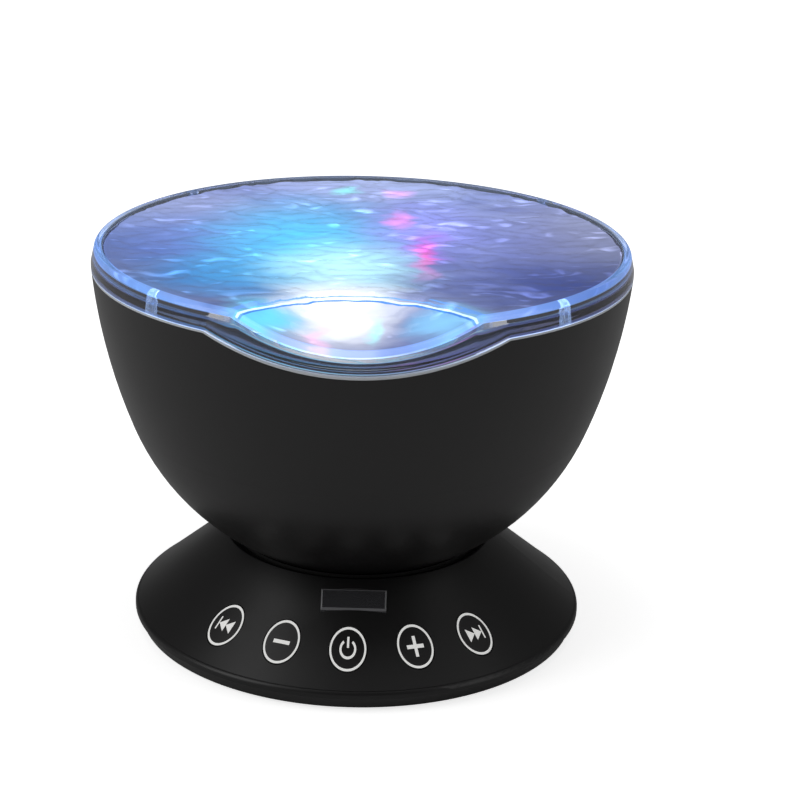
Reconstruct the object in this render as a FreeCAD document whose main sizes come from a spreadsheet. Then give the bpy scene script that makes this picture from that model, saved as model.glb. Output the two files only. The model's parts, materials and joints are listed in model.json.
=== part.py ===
"""Star night light projector: a bowl-shaped lamp head that tilts on a round base with five keys.

Frame: millimetres, +Z up, origin on the table under the middle of the base.
The keys face -Y. The head leans back about a line along X through the centre of its ball.
"""
import FreeCAD, Part
import math
import os
import Sketcher
from FreeCAD import Placement, Rotation, Vector

doc = FreeCAD.newDocument("star_night_light")
sheet = doc.addObject("Spreadsheet::Sheet", "Sizes")

# Driving sizes in millimetres, degrees where the name says angle, and plain counts.
DRIVING = {
    "foot_height": 1.0,
    "foot_radius": 5.0,
    "floor_thickness": 2.0,
    "base_radius": 63.3,
    "base_floor_radius": 61.6,
    "base_floor_height": 3.2,
    "base_seam": 0.2,
    "base_edge_height": 0.8,
    "base_edge_radius": 1.3,
    "flank_foot_radius": 62.4,
    "flank_foot_height": 6.2,
    "flank_drop": 2.6,
    "base_skirt_wall": 2.4,
    "collar_radius": 37.6,
    "collar_height": 26.8,
    "collar_lip": 0.9,
    "seat_radius": 34.8,
    "seat_wall": 2.4,
    "seat_height": 20.0,
    "seat_thickness": 2.2,
    "seat_bore": 25.5,
    "lip_radius": 60.7,
    "lip_wall": 1.1,
    "lip_height": 0.6,
    "ball_radius": 68.0,
    "pivot_height": 85.6,
    "ball_gap": 0.3,
    "bowl_wall": 2.2,
    "bowl_break_height": 61.2,
    "bowl_side_radius": 160.4,
    "rim_radius": 73.5,
    "rim_height": 104.3,
    "gasket_height": 0.6,
    "gasket_gap": 0.04,
    "cover_height": 6.2,
    "cover_wall": 2.0,
    "cover_edge": 1.5,
    "cover_lean": 0.8,
    "cover_band": 1.2,
    "cover_taper": 1.45,
    "cover_reach": 12.0,
    "tab_width": 3.0,
    "tab_thickness": 1.5,
    "tab_radius": 67.5,
    "tab_depth": 5.8,
    "tab_angle": 46.0,
    "scoop_radius": 120.0,
    "scoop_front": 88.9,
    "scoop_rise": 110.9,
    "tilt_angle": 35.0,
    "slot_margin_angle": 5.0,
    "slot_width": 7.0,
    "stud_radius": 3.0,
    "stud_bore": 1.6,
    "stud_head_radius": 6.0,
    "stud_head_height": 1.5,
    "stud_top_height": 29.5,
    "thread_gap": 0.05,
    "shoe_radius": 12.0,
    "shoe_top_height": 22.2,
    "spring_radius": 8.0,
    "spring_rise": 1.1,
    "spring_thickness": 0.8,
    "nut_circle": 5.6,
    "nut_height": 4.0,
    "plate_radius": 34.2,
    "plate_bottom_height": 14.0,
    "plate_thickness": 2.4,
    "plate_rim_radius": 27.0,
    "plate_screw_circle": 31.0,
    "ring_inner_radius": 26.0,
    "ring_outer_radius": 34.5,
    "key_circle": 53.3,
    "key_radius": 4.95,
    "key_gap": 0.25,
    "key_thickness": 3.0,
    "key_flange_radius": 5.85,
    "key_flange_thickness": 1.0,
    "key_stem_radius": 2.0,
    "key_travel": 0.5,
    "key_spacing_angle": 19.46,
    "key_middle_angle": -91.16,
    "key_rest_gap": 0.1,
    "switch_width": 4.0,
    "switch_height": 1.6,
    "plunger_radius": 1.1,
    "plunger_height": 1.0,
    "board_thickness": 1.2,
    "board_rise": 1.2,
    "key_board_inner": 40.0,
    "key_board_outer": 57.5,
    "key_board_angle": 100.0,
    "window_width": 17.5,
    "window_inner": 39.8,
    "window_depth": 4.7,
    "window_gap": 0.1,
    "receiver_width": 6.0,
    "receiver_depth": 3.2,
    "receiver_height": 5.5,
    "receiver_bottom_height": 12.5,
    "receiver_leg": 0.5,
    "main_board_width": 48.0,
    "main_board_start": 24.0,
    "main_board_length": 25.5,
    "main_board_thickness": 1.6,
    "chip_width": 9.0,
    "chip_height": 1.4,
    "pocket_width": 30.0,
    "pocket_face": 52.0,
    "pocket_wall": 2.0,
    "pocket_floor": 1.0,
    "audio_place": 8.0,
    "audio_height": 8.6,
    "audio_bore": 1.8,
    "audio_nose": 2.8,
    "audio_width": 6.5,
    "audio_length": 10.0,
    "audio_body_height": 5.6,
    "power_place": -8.0,
    "power_height": 9.0,
    "power_bore": 2.8,
    "power_pin": 0.9,
    "power_nose": 3.5,
    "power_width": 9.0,
    "power_length": 11.0,
    "power_body_height": 6.3,
    "power_depth": 9.0,
    "base_screw_circle": 50.0,
    "base_screw_angle": 25.0,
    "boss_radius": 3.2,
    "boss_top_height": 13.4,
    "screw_radius": 1.15,
    "screw_gap": 0.05,
    "screw_head_radius": 2.5,
    "screw_head_height": 1.1,
    "small_screw_radius": 0.9,
    "small_head_radius": 1.7,
    "small_head_height": 1.1,
    "speaker_radius": 18.0,
    "speaker_flange": 1.3,
    "speaker_depth": 5.7,
    "magnet_radius": 8.5,
    "magnet_height": 2.9,
    "grille_hole": 1.4,
    "grille_pitch": 6.0,
    "ledge_inner": 47.5,
    "ledge_outer": 54.6,
    "ledge_height": 3.0,
    "deck_height": 48.3,
    "deck_thickness": 2.5,
    "deck_radius": 51.9,
    "deck_screw_circle": 49.6,
    "lead_hole": 3.0,
    "spreader_thickness": 1.2,
    "led_board_radius": 34.0,
    "led_board_bore": 7.5,
    "led_circle": 22.0,
    "led_radius": 2.5,
    "reflector_foot": 42.0,
    "reflector_inner": 35.0,
    "reflector_mouth": 44.4,
    "reflector_wall": 1.5,
    "lens_height": 70.0,
    "lens_thickness": 2.0,
    "lens_radius": 40.4,
    "post_radius": 4.0,
    "post_foot_radius": 7.0,
    "axle_radius": 1.5,
    "axle_depth": 25.0,
    "axle_top_height": 94.0,
    "running_gap": 0.06,
    "tray_height": 82.1,
    "tray_thickness": 2.2,
    "tray_opening": 46.2,
    "tray_ledge_inner": 61.0,
    "tray_ledge_outer": 68.2,
    "tray_ledge_height": 2.5,
    "tray_screw_circle": 62.6,
    "gear_module": 1.0,
    "pinion_teeth": 12,
    "ring_teeth": 94,
    "gear_height": 4.0,
    "gear_lift": 1.1,
    "gear_backlash": 0.35,
    "ring_bore": 42.0,
    "motor_radius": 5.8,
    "motor_length": 15.0,
    "bracket_thickness": 0.9,
    "bracket_width": 28.0,
    "bracket_depth": 9.0,
    "motor_screw_spacing": 10.0,
    "motor_shaft_radius": 1.0,
    "disc_radius": 44.0,
    "disc_thickness": 2.2,
    "hub_radius": 6.0,
    "washer_thickness": 0.7,
    "clip_radius": 3.5,
    "clip_thickness": 0.8,
    "seat_clearance": 0.1,
}

for row, (alias, number) in enumerate(DRIVING.items(), start=1):
    sheet.set(f"A{row}", alias)
    sheet.set(f"B{row}", str(number))
    sheet.setAlias(f"B{row}", alias)
doc.recompute()


class Dim:
    """A size that carries its value and the formula of the sheet that gives it."""

    def __init__(self, value, text):
        self.value = value
        self.text = text

    def __add__(self, other):
        other = as_dim(other)
        return Dim(self.value + other.value, f"({self.text} + {other.text})")

    def __sub__(self, other):
        other = as_dim(other)
        return Dim(self.value - other.value, f"({self.text} - {other.text})")

    def __mul__(self, other):
        other = as_dim(other)
        return Dim(self.value * other.value, f"({self.text} * {other.text})")

    def __truediv__(self, other):
        other = as_dim(other)
        return Dim(self.value / other.value, f"({self.text} / {other.text})")

    def __radd__(self, other):
        return as_dim(other) + self

    def __rsub__(self, other):
        return as_dim(other) - self

    def __rmul__(self, other):
        return as_dim(other) * self

    def __neg__(self):
        return as_dim(0) - self


def as_dim(value):
    if isinstance(value, Dim):
        return value
    return Dim(float(value), f"({float(value)})")


def root(dim):
    return Dim(math.sqrt(dim.value), f"sqrt({dim.text})")


def cosine(angle):
    angle = as_dim(angle)
    return Dim(math.cos(math.radians(angle.value)), f"cos({angle.text} * 1deg)")


def sine(angle):
    angle = as_dim(angle)
    return Dim(math.sin(math.radians(angle.value)), f"sin({angle.text} * 1deg)")


class SheetSizes:
    """Gives each alias of the sheet as a Dim, by attribute."""

    def __getattr__(self, alias):
        return Dim(float(DRIVING[alias]), f"Sizes.{alias}")


d = SheetSizes()
bindings = []


def bind(thing, path, dim):
    dim = as_dim(dim)
    thing.setExpression(path, dim.text)
    bindings.append((thing, path, dim))


def place(thing, x=0, y=0, z=0):
    for axis, dim in zip("xyz", (x, y, z)):
        bind(thing, f"Placement.Base.{axis}", dim)
    return thing


def cylinder(name, radius, low, high, x=0, y=0):
    thing = doc.addObject("Part::Cylinder", name)
    bind(thing, "Radius", radius)
    bind(thing, "Height", as_dim(high) - low)
    return place(thing, x, y, low)


def box(name, x, y, z):
    """A box between two values along each axis."""
    thing = doc.addObject("Part::Box", name)
    bind(thing, "Length", as_dim(x[1]) - x[0])
    bind(thing, "Width", as_dim(y[1]) - y[0])
    bind(thing, "Height", as_dim(z[1]) - z[0])
    return place(thing, x[0], y[0], z[0])


def sphere(name, radius, x=0, y=0, z=0):
    thing = doc.addObject("Part::Sphere", name)
    bind(thing, "Radius", radius)
    return place(thing, x, y, z)


def rod_back(name, radius, front, back, x, z):
    """A cylinder along +Y."""
    thing = doc.addObject("Part::Cylinder", name)
    thing.Placement = Placement(Vector(), Rotation(Vector(1, 0, 0), -90))
    bind(thing, "Radius", radius)
    bind(thing, "Height", as_dim(back) - front)
    return place(thing, x, front, z)


def fuse(name, *things):
    result = doc.addObject("Part::MultiFuse", name)
    result.Shapes = list(things)
    return result


def cut(name, base, *tools):
    result = doc.addObject("Part::Cut", name)
    result.Base = base
    result.Tool = tools[0] if len(tools) == 1 else fuse(name + "_tools", *tools)
    return result


def common(name, *things):
    result = doc.addObject("Part::MultiCommon", name)
    result.Shapes = list(things)
    return result


def group(name, things):
    result = doc.addObject("Part::Compound", name)
    result.Links = list(things)
    return result


def ring(name, inner, outer, low, high, x=0, y=0):
    return cut(
        name,
        cylinder(name + "_outer", outer, low, high, x, y),
        cylinder(name + "_bore", inner, as_dim(low) - 1, as_dim(high) + 1, x, y),
    )


def add_edge(sketch, start, end, arc):
    """One edge of an outline. arc is (radius, side): side 1 bulges left of the way, -1 right."""
    first = Vector(start[0].value, start[1].value, 0)
    last = Vector(end[0].value, end[1].value, 0)
    if arc is None:
        return sketch.addGeometry(Part.LineSegment(first, last), False), 1, 2
    radius, side = arc
    along = last - first
    across = Vector(-along.y, along.x, 0) / along.Length
    height = math.sqrt(radius.value ** 2 - (along.Length / 2) ** 2)
    centre = (first + last) / 2 - across * height * side
    if side > 0:
        begin, finish, pos_first, pos_last = last, first, 2, 1
    else:
        begin, finish, pos_first, pos_last = first, last, 1, 2
    angle_begin = math.atan2(begin.y - centre.y, begin.x - centre.x)
    angle_finish = math.atan2(finish.y - centre.y, finish.x - centre.x)
    if angle_finish < angle_begin:
        angle_finish += 2 * math.pi
    circle = Part.Circle(centre, Vector(0, 0, 1), radius.value)
    edge = sketch.addGeometry(Part.ArcOfCircle(circle, angle_begin, angle_finish), False)
    constraint = sketch.addConstraint(Sketcher.Constraint("Radius", edge, radius.value))
    bind(sketch, f"Constraints[{constraint}]", radius)
    return edge, pos_first, pos_last


def turned(name, points, arcs=None):
    """A solid of revolution about Z. points are (radius, height); arcs give curved edges by index."""
    arcs = arcs or {}
    points = [(as_dim(r), as_dim(z)) for r, z in points]
    body = doc.addObject("PartDesign::Body", name)
    sketch = body.newObject("Sketcher::SketchObject", name + "_outline")
    plane = [item for item in body.Origin.OriginFeatures if item.Role == "XZ_Plane"][0]
    sketch.AttachmentSupport = [(plane, "")]
    sketch.MapMode = "FlatFace"
    edges = []
    for index, start in enumerate(points):
        end = points[(index + 1) % len(points)]
        edges.append(add_edge(sketch, start, end, arcs.get(index)))
    for index, (edge, pos_first, pos_last) in enumerate(edges):
        following = edges[(index + 1) % len(edges)]
        joint = Sketcher.Constraint("Coincident", edge, pos_last, following[0], following[1])
        sketch.addConstraint(joint)
        radius, height = points[index]
        if radius.value == 0:
            sketch.addConstraint(Sketcher.Constraint("PointOnObject", edge, pos_first, -2))
        else:
            across = Sketcher.Constraint("DistanceX", -1, 1, edge, pos_first, radius.value)
            bind(sketch, f"Constraints[{sketch.addConstraint(across)}]", radius)
        up = Sketcher.Constraint("DistanceY", -1, 1, edge, pos_first, height.value)
        bind(sketch, f"Constraints[{sketch.addConstraint(up)}]", height)
    turn = body.newObject("PartDesign::Revolution", name + "_turn")
    turn.Profile = sketch
    turn.ReferenceAxis = (sketch, ["V_Axis"])
    turn.Angle = 360
    return body


def around(name, make, circle, angles):
    """Copies of one piece on a circle. make(name, x, y) builds one."""
    copies = []
    for index, angle in enumerate(angles):
        copies.append(make(f"{name}_{index + 1}", circle * cosine(angle), circle * sine(angle)))
    return copies


def screw(name, x, y, head_low, head_high, tip, head_radius, shank_radius):
    """A screw along Z. tip is the end of its shank, above or below the head."""
    shank_low, shank_high = (tip, head_low) if as_dim(tip).value < as_dim(head_low).value else (head_high, tip)
    return fuse(
        name,
        cylinder(name + "_head", head_radius, head_low, head_high, x, y),
        cylinder(name + "_shank", shank_radius, shank_low, shank_high, x, y),
    )


def ball_height(radius, across):
    """Height of the underside of a ball of this radius, at a distance from its axis."""
    return d.pivot_height - root(radius * radius - across * across)


nodes = {}


def node(name, thing):
    thing.Label = name
    nodes[name] = thing
    return thing


# Heights that the pieces share.
floor_bottom = d.foot_height
floor_top = floor_bottom + d.floor_thickness
parting = floor_bottom + d.base_floor_height
board_bottom = floor_top + d.board_rise
board_top = board_bottom + d.board_thickness
slope = (d.collar_height - d.flank_foot_height) / (d.flank_foot_radius - d.collar_radius)


def flank_height(radius, drop=0):
    """Height of the base's sloping top at a radius, or of a surface a drop below it."""
    return d.collar_height - (radius - d.collar_radius) * slope - drop


def flank_solid(name, drop):
    """The space under the base's sloping top, lowered by a drop."""
    return turned(name, [
        (0, floor_bottom - 6),
        (d.flank_foot_radius, floor_bottom - 6),
        (d.flank_foot_radius, d.flank_foot_height - drop),
        (d.collar_radius, d.collar_height - drop),
        (0, d.collar_height - drop),
    ])


# Base, top shell: outer flank, collar for the ball, seat for the friction ring.
seat_outer = d.seat_radius + d.seat_wall
skirt_inner = d.base_radius - d.base_skirt_wall
shell_turned = turned("base_top_shell", [
    (d.base_radius, parting),
    (d.base_radius, parting + d.base_edge_height),
    (d.flank_foot_radius, d.flank_foot_height),
    (d.collar_radius, d.collar_height),
    (d.collar_radius - d.collar_lip, d.collar_height),
    (d.seat_radius, d.collar_height - d.collar_lip - 0.3),
    (d.seat_radius, d.seat_height),
    (d.seat_bore, d.seat_height),
    (d.seat_bore, d.seat_height - d.seat_thickness),
    (seat_outer, d.seat_height - d.seat_thickness),
    (seat_outer, flank_height(seat_outer, d.flank_drop)),
    (skirt_inner, flank_height(skirt_inner, d.flank_drop)),
    (skirt_inner, parting),
], {1: (d.base_edge_radius, -1)})
under_flank = flank_solid("under_flank", 0.3)
screw_angles = [
    d.base_screw_angle,
    180 - d.base_screw_angle,
    180 + d.base_screw_angle,
    360 - d.base_screw_angle,
]
bosses = around(
    "boss",
    lambda name, x, y: cylinder(name, d.boss_radius, parting + 0.2, d.boss_top_height, x, y),
    d.base_screw_circle,
    screw_angles,
)
pilot_radius = d.screw_radius + d.screw_gap
pilots = around(
    "pilot",
    lambda name, x, y: cylinder(name, pilot_radius, parting - 1, d.boss_top_height - 1.2, x, y),
    d.base_screw_circle,
    screw_angles,
)
half_pocket = d.pocket_width / 2
pocket_outer = half_pocket + d.pocket_wall
pocket_block = common(
    "pocket_block",
    box(
        "pocket_space",
        (-pocket_outer, pocket_outer),
        (d.pocket_face - d.pocket_wall, d.base_radius),
        (parting, d.collar_height),
    ),
    under_flank,
)
pocket_void = box(
    "pocket_void",
    (-half_pocket, half_pocket),
    (d.pocket_face, d.base_radius + 5),
    (parting + d.pocket_floor, d.collar_height),
)
socket_holes = [
    rod_back("audio_hole", d.audio_nose + d.seat_clearance, d.pocket_face - 4, d.pocket_face + 1,
             d.audio_place, d.audio_height),
    rod_back("power_hole", d.power_nose + d.seat_clearance, d.pocket_face - 4, d.pocket_face + 1,
             d.power_place, d.power_height),
]
key_angles = [d.key_middle_angle + d.key_spacing_angle * step for step in (-2, -1, 0, 1, 2)]
key_holes = around(
    "key_hole",
    lambda name, x, y: cylinder(name, d.key_radius + d.key_gap, parting, d.collar_height, x, y),
    d.key_circle,
    key_angles,
)
window_outer = d.window_inner + d.window_depth
window_half = d.window_width / 2
window_hole = box(
    "window_hole",
    (-window_half - d.window_gap, window_half + d.window_gap),
    (-window_outer - d.window_gap, -d.window_inner + d.window_gap),
    (parting, d.collar_height),
)
plate_screw_angles = [45, 135, 225, 315]
plate_pilots = around(
    "plate_pilot",
    lambda name, x, y: cylinder(name, pilot_radius, d.plate_bottom_height, d.seat_height + 1, x, y),
    d.plate_screw_circle,
    plate_screw_angles,
)
base_top_solid = fuse("base_top_solid", shell_turned, pocket_block, *bosses)
node("base_top", cut(
    "base_top", base_top_solid, pocket_void, window_hole, *socket_holes, *key_holes, *pilots, *plate_pilots,
))

# Base, bottom shell: floor with screw tubes, board stands and the holes in front of the speaker.
floor_turned = turned("base_bottom_shell", [
    (0, floor_bottom),
    (d.base_floor_radius, floor_bottom),
    (d.base_radius - 0.4, parting - d.base_seam),
    (d.lip_radius, parting - d.base_seam),
    (d.lip_radius, parting + d.lip_height - d.base_seam),
    (d.lip_radius - d.lip_wall, parting + d.lip_height - d.base_seam),
    (d.lip_radius - d.lip_wall, floor_top),
    (0, floor_top),
])
tubes = around(
    "screw_tube",
    lambda name, x, y: cylinder(name, d.boss_radius, floor_bottom + 1, parting + 0.1, x, y),
    d.base_screw_circle,
    screw_angles,
)
tube_holes = around(
    "tube_hole",
    lambda name, x, y: cylinder(name, d.screw_radius + 0.4, floor_bottom - 1, parting + 1, x, y),
    d.base_screw_circle,
    screw_angles,
)
head_holes = around(
    "head_hole",
    lambda name, x, y: cylinder(
        name, d.screw_head_radius + 0.2, floor_bottom - 1, floor_bottom + d.screw_head_height + 0.1, x, y),
    d.base_screw_circle,
    screw_angles,
)
key_stand_angles = [d.key_middle_angle - 35, d.key_middle_angle, d.key_middle_angle + 35]
key_stands = around(
    "key_stand",
    lambda name, x, y: cylinder(name, 2.2, floor_top - 0.5, board_bottom, x, y),
    as_dim(48.0),
    key_stand_angles,
)
half_board = d.main_board_width / 2
stand_inset = as_dim(4.0)
board_back = d.main_board_start + d.main_board_length
stand_places = [
    (side * (half_board - stand_inset), y)
    for side in (-1, 1)
    for y in (d.main_board_start + stand_inset, board_back - stand_inset)
]
board_stands = [
    cylinder(f"board_stand_{index}", 2.2, floor_top - 0.5, board_bottom, x, y)
    for index, (x, y) in enumerate(stand_places)
]
board_pilots = [
    cylinder(f"board_pilot_{index}", d.small_screw_radius + d.screw_gap, floor_top - 0.3, board_bottom + 4, x, y)
    for index, (x, y) in enumerate(stand_places)
]
grille = [cylinder("grille_middle", d.grille_hole, floor_bottom - 1, floor_top + 1)]
for ring_index in (1, 2):
    grille += around(
        f"grille_{ring_index}",
        lambda name, x, y: cylinder(name, d.grille_hole, floor_bottom - 1, floor_top + 1, x, y),
        d.grille_pitch * ring_index,
        [60 / ring_index * step for step in range(6 * ring_index)],
    )
lip_notch = box(
    "lip_notch",
    (-pocket_outer - 0.4, pocket_outer + 0.4),
    (d.pocket_face - d.pocket_wall - 0.4, d.base_radius + 2),
    (parting - d.base_seam, parting + 3),
)
base_bottom_solid = fuse("base_bottom_solid", floor_turned, *tubes, *key_stands, *board_stands)
node("base_bottom", cut(
    "base_bottom", base_bottom_solid, lip_notch, *tube_holes, *head_holes, *board_pilots, *grille,
))
node("rubber_feet", group("rubber_feet", around(
    "rubber_foot",
    lambda name, x, y: cylinder(name, d.foot_radius, 0, d.foot_height, x, y),
    d.base_screw_circle,
    screw_angles,
)))
node("base_screws", group("base_screws", around(
    "base_screw",
    lambda name, x, y: screw(
        name, x, y, floor_bottom + 0.05, floor_bottom + d.screw_head_height, d.boss_top_height - 1.9,
        d.screw_head_radius, d.screw_radius),
    d.base_screw_circle,
    screw_angles,
)))

# Keys: each a sloping cap with a hidden flange under the shell and a stem over its switch.
cap_layer = cut("cap_layer", flank_solid("cap_top", 0), flank_solid("cap_bottom", d.key_thickness))
flange_top = d.flank_drop + 0.3
flange_layer = cut(
    "flange_layer",
    flank_solid("flange_top", flange_top),
    flank_solid("flange_bottom", flange_top + d.key_flange_thickness),
)
stem_space = flank_solid("stem_space", 1.0)
switch_top = board_top + d.switch_height + d.plunger_height
stem_bottom = switch_top + d.key_travel + d.key_rest_gap
key_names = ["key_previous", "key_volume_down", "key_power", "key_volume_up", "key_next"]
key_places = [(d.key_circle * cosine(angle), d.key_circle * sine(angle)) for angle in key_angles]
for name, (x, y) in zip(key_names, key_places):
    cap = common(name + "_cap", cylinder(name + "_round", d.key_radius, parting, d.collar_height, x, y), cap_layer)
    flange = common(
        name + "_flange",
        cylinder(name + "_flange_round", d.key_flange_radius, parting, d.collar_height, x, y),
        flange_layer,
    )
    stem = common(
        name + "_stem",
        cylinder(name + "_stem_round", d.key_stem_radius, stem_bottom, d.collar_height, x, y),
        stem_space,
    )
    node(name, fuse(name, cap, flange, stem))
sector = doc.addObject("Part::Cylinder", "key_board_sector")
first_angle = d.key_middle_angle - d.key_board_angle / 2
bind(sector, "Radius", d.key_board_outer)
bind(sector, "Height", d.board_thickness)
bind(sector, "Angle", d.key_board_angle)
sector.Placement = Placement(Vector(), Rotation(Vector(0, 0, 1), first_angle.value))
bind(sector, "Placement.Rotation.Angle", first_angle)
place(sector, 0, 0, board_bottom)
node("key_board", cut(
    "key_board", sector, cylinder("key_board_bore", d.key_board_inner, board_bottom - 1, board_top + 1)))
switches = []
half_switch = d.switch_width / 2
for index, (x, y) in enumerate(key_places):
    switches.append(fuse(
        f"switch_{index + 1}",
        box(f"switch_box_{index + 1}", (x - half_switch, x + half_switch), (y - half_switch, y + half_switch),
            (board_top, board_top + d.switch_height)),
        cylinder(f"switch_plunger_{index + 1}", d.plunger_radius, board_top + 0.5, switch_top, x, y),
    ))
node("key_switches", group("key_switches", switches))

# Window for the remote's infrared light, and the receiver that stands behind it.
node("receiver_window", common(
    "receiver_window",
    box("window_block", (-window_half, window_half), (-window_outer, -d.window_inner), (parting, d.collar_height)),
    cap_layer,
))
receiver_middle = -(d.window_inner + d.window_depth / 2)
receiver_parts = [box(
    "receiver_block",
    (-d.receiver_width / 2, d.receiver_width / 2),
    (receiver_middle - d.receiver_depth / 2, receiver_middle + d.receiver_depth / 2),
    (d.receiver_bottom_height, d.receiver_bottom_height + d.receiver_height),
)]
for index, step in enumerate((-1, 0, 1)):
    leg_middle = as_dim(2.2 * step)
    receiver_parts.append(box(
        f"receiver_leg_{index + 1}",
        (leg_middle - d.receiver_leg / 2, leg_middle + d.receiver_leg / 2),
        (receiver_middle - d.receiver_leg / 2, receiver_middle + d.receiver_leg / 2),
        (board_top, d.receiver_bottom_height + 1),
    ))
node("infrared_receiver", fuse("infrared_receiver", *receiver_parts))

# Main board at the back, with its chip, screws and the two sockets in the recess.
main_board_top = board_bottom + d.main_board_thickness
node("main_board", cut(
    "main_board",
    box("main_board_sheet", (-half_board, half_board), (d.main_board_start, board_back),
        (board_bottom, main_board_top)),
    *[cylinder(f"board_hole_{index}", d.small_screw_radius + 0.2, board_bottom - 1, main_board_top + 1, x, y)
      for index, (x, y) in enumerate(stand_places)],
))
chip_middle = d.main_board_start + 8
node("main_chip", box(
    "main_chip",
    (-d.chip_width / 2, d.chip_width / 2),
    (chip_middle - d.chip_width / 2, chip_middle + d.chip_width / 2),
    (main_board_top, main_board_top + d.chip_height),
))
node("board_screws", group("board_screws", [
    screw(f"board_screw_{index}", x, y, main_board_top + 0.05, main_board_top + 0.05 + d.small_head_height,
          floor_top, d.small_head_radius, d.small_screw_radius)
    for index, (x, y) in enumerate(stand_places)
]))
socket_back = d.pocket_face - d.pocket_wall - d.seat_clearance


def socket(name, middle, height, width, length, tall, nose, bore, depth):
    half = width / 2
    block = box(name + "_block", (middle - half, middle + half), (socket_back - length, socket_back),
                (main_board_top, main_board_top + tall))
    snout = rod_back(name + "_nose", nose, socket_back - 1, d.pocket_face, middle, height)
    hollow = rod_back(name + "_bore", bore, d.pocket_face - depth, d.pocket_face + 1, middle, height)
    return fuse(name + "_solid", block, snout), hollow


audio_solid, audio_hollow = socket(
    "audio", d.audio_place, d.audio_height, d.audio_width, d.audio_length, d.audio_body_height,
    d.audio_nose, d.audio_bore, d.audio_length)
node("audio_socket", cut("audio_socket", audio_solid, audio_hollow))
power_solid, power_hollow = socket(
    "power", d.power_place, d.power_height, d.power_width, d.power_length, d.power_body_height,
    d.power_nose, d.power_bore, d.power_depth)
power_pin = rod_back("power_pin", d.power_pin, d.pocket_face - d.power_depth - 0.5, d.pocket_face - 1,
                     d.power_place, d.power_height)
node("power_socket", fuse("power_socket", cut("power_shell", power_solid, power_hollow), power_pin))

# Speaker: it faces down through the holes in the floor.
speaker_low = floor_top + d.seat_clearance
speaker_high = speaker_low + d.speaker_depth
flange_high = speaker_low + d.speaker_flange
neck_outer = d.magnet_radius + 1.1
node("speaker_frame", turned("speaker_frame", [
    (d.speaker_radius - 3.0, speaker_low),
    (d.speaker_radius, speaker_low),
    (d.speaker_radius, flange_high),
    (d.speaker_radius - 2.4, flange_high),
    (neck_outer, speaker_high),
    (neck_outer - 2.2, speaker_high),
    (neck_outer - 2.2, speaker_high - 0.8),
    (neck_outer - 0.4, speaker_high - 0.8),
    (d.speaker_radius - 3.0, speaker_low + 0.8),
]))
node("speaker_magnet", turned("speaker_magnet", [
    (0, speaker_high + 0.05),
    (d.magnet_radius, speaker_high + 0.05),
    (d.magnet_radius, speaker_high + 0.05 + d.magnet_height),
    (0, speaker_high + 0.05 + d.magnet_height),
]))
cone_edge = d.speaker_radius - 3.3
coil_inner = as_dim(5.0)
node("speaker_cone", turned("speaker_cone", [
    (0, speaker_high - 2.4),
    (coil_inner - 0.5, speaker_high - 2.4),
    (cone_edge, speaker_low + 0.3),
    (cone_edge, speaker_low + 0.8),
    (coil_inner, speaker_high - 1.9),
    (0, speaker_high - 1.9),
]))
node("voice_coil", ring("voice_coil", coil_inner, coil_inner + 0.8, speaker_high - 1.6, speaker_high))

# Pivot: plate under the seat, hollow stud up through the slot, and the clamp inside the bowl.
plate_top = d.plate_bottom_height + d.plate_thickness
seat_under = d.seat_height - d.seat_thickness
stud_hole = d.stud_radius + d.thread_gap
plate_turned = turned("pivot_plate_turned", [
    (stud_hole, d.plate_bottom_height),
    (d.plate_radius, d.plate_bottom_height),
    (d.plate_radius, seat_under - d.seat_clearance),
    (d.plate_rim_radius, seat_under - d.seat_clearance),
    (d.plate_rim_radius, plate_top),
    (stud_hole, plate_top),
])
plate_holes = around(
    "plate_hole",
    lambda name, x, y: cylinder(name, d.screw_radius + 0.2, d.plate_bottom_height - 1, d.seat_height, x, y),
    d.plate_screw_circle,
    plate_screw_angles,
)
node("pivot_plate", cut("pivot_plate", plate_turned, *plate_holes))
node("plate_screws", group("plate_screws", around(
    "plate_screw",
    lambda name, x, y: screw(
        name, x, y, d.plate_bottom_height - 0.05 - d.screw_head_height, d.plate_bottom_height - 0.05,
        d.seat_height - 0.3, d.screw_head_radius, d.screw_radius),
    d.plate_screw_circle,
    plate_screw_angles,
)))
stud_bottom = d.plate_bottom_height - d.stud_head_height
node("pivot_stud", turned("pivot_stud", [
    (d.stud_bore, stud_bottom),
    (d.stud_head_radius, stud_bottom),
    (d.stud_head_radius, d.plate_bottom_height),
    (d.stud_radius, d.plate_bottom_height),
    (d.stud_radius, d.stud_top_height),
    (d.stud_bore, d.stud_top_height),
]))
seat_ball = d.ball_radius + d.ball_gap
node("friction_ring", turned("friction_ring", [
    (d.ring_inner_radius, d.seat_height + 0.02),
    (d.ring_outer_radius, d.seat_height + 0.02),
    (d.ring_outer_radius, ball_height(seat_ball, d.ring_outer_radius)),
    (d.ring_inner_radius, ball_height(seat_ball, d.ring_inner_radius)),
], {2: (seat_ball, 1)}))
shoe_ball = d.ball_radius - d.bowl_wall - d.ball_gap
node("clamp_shoe", turned("clamp_shoe", [
    (stud_hole, ball_height(shoe_ball, stud_hole)),
    (d.shoe_radius, ball_height(shoe_ball, d.shoe_radius)),
    (d.shoe_radius, d.shoe_top_height),
    (stud_hole, d.shoe_top_height),
], {0: (shoe_ball, -1)}))
spring_low = d.shoe_top_height + d.seat_clearance
node("disc_spring", turned("disc_spring", [
    (d.spring_radius, spring_low),
    (d.spring_radius, spring_low + d.spring_thickness),
    (stud_hole, spring_low + d.spring_rise + d.spring_thickness),
    (stud_hole, spring_low + d.spring_rise),
]))
nut_low = spring_low + d.spring_rise + d.spring_thickness + d.seat_clearance
nut_block = doc.addObject("Part::Prism", "nut_block")
nut_block.Polygon = 6
bind(nut_block, "Circumradius", d.nut_circle)
bind(nut_block, "Height", d.nut_height)
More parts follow.
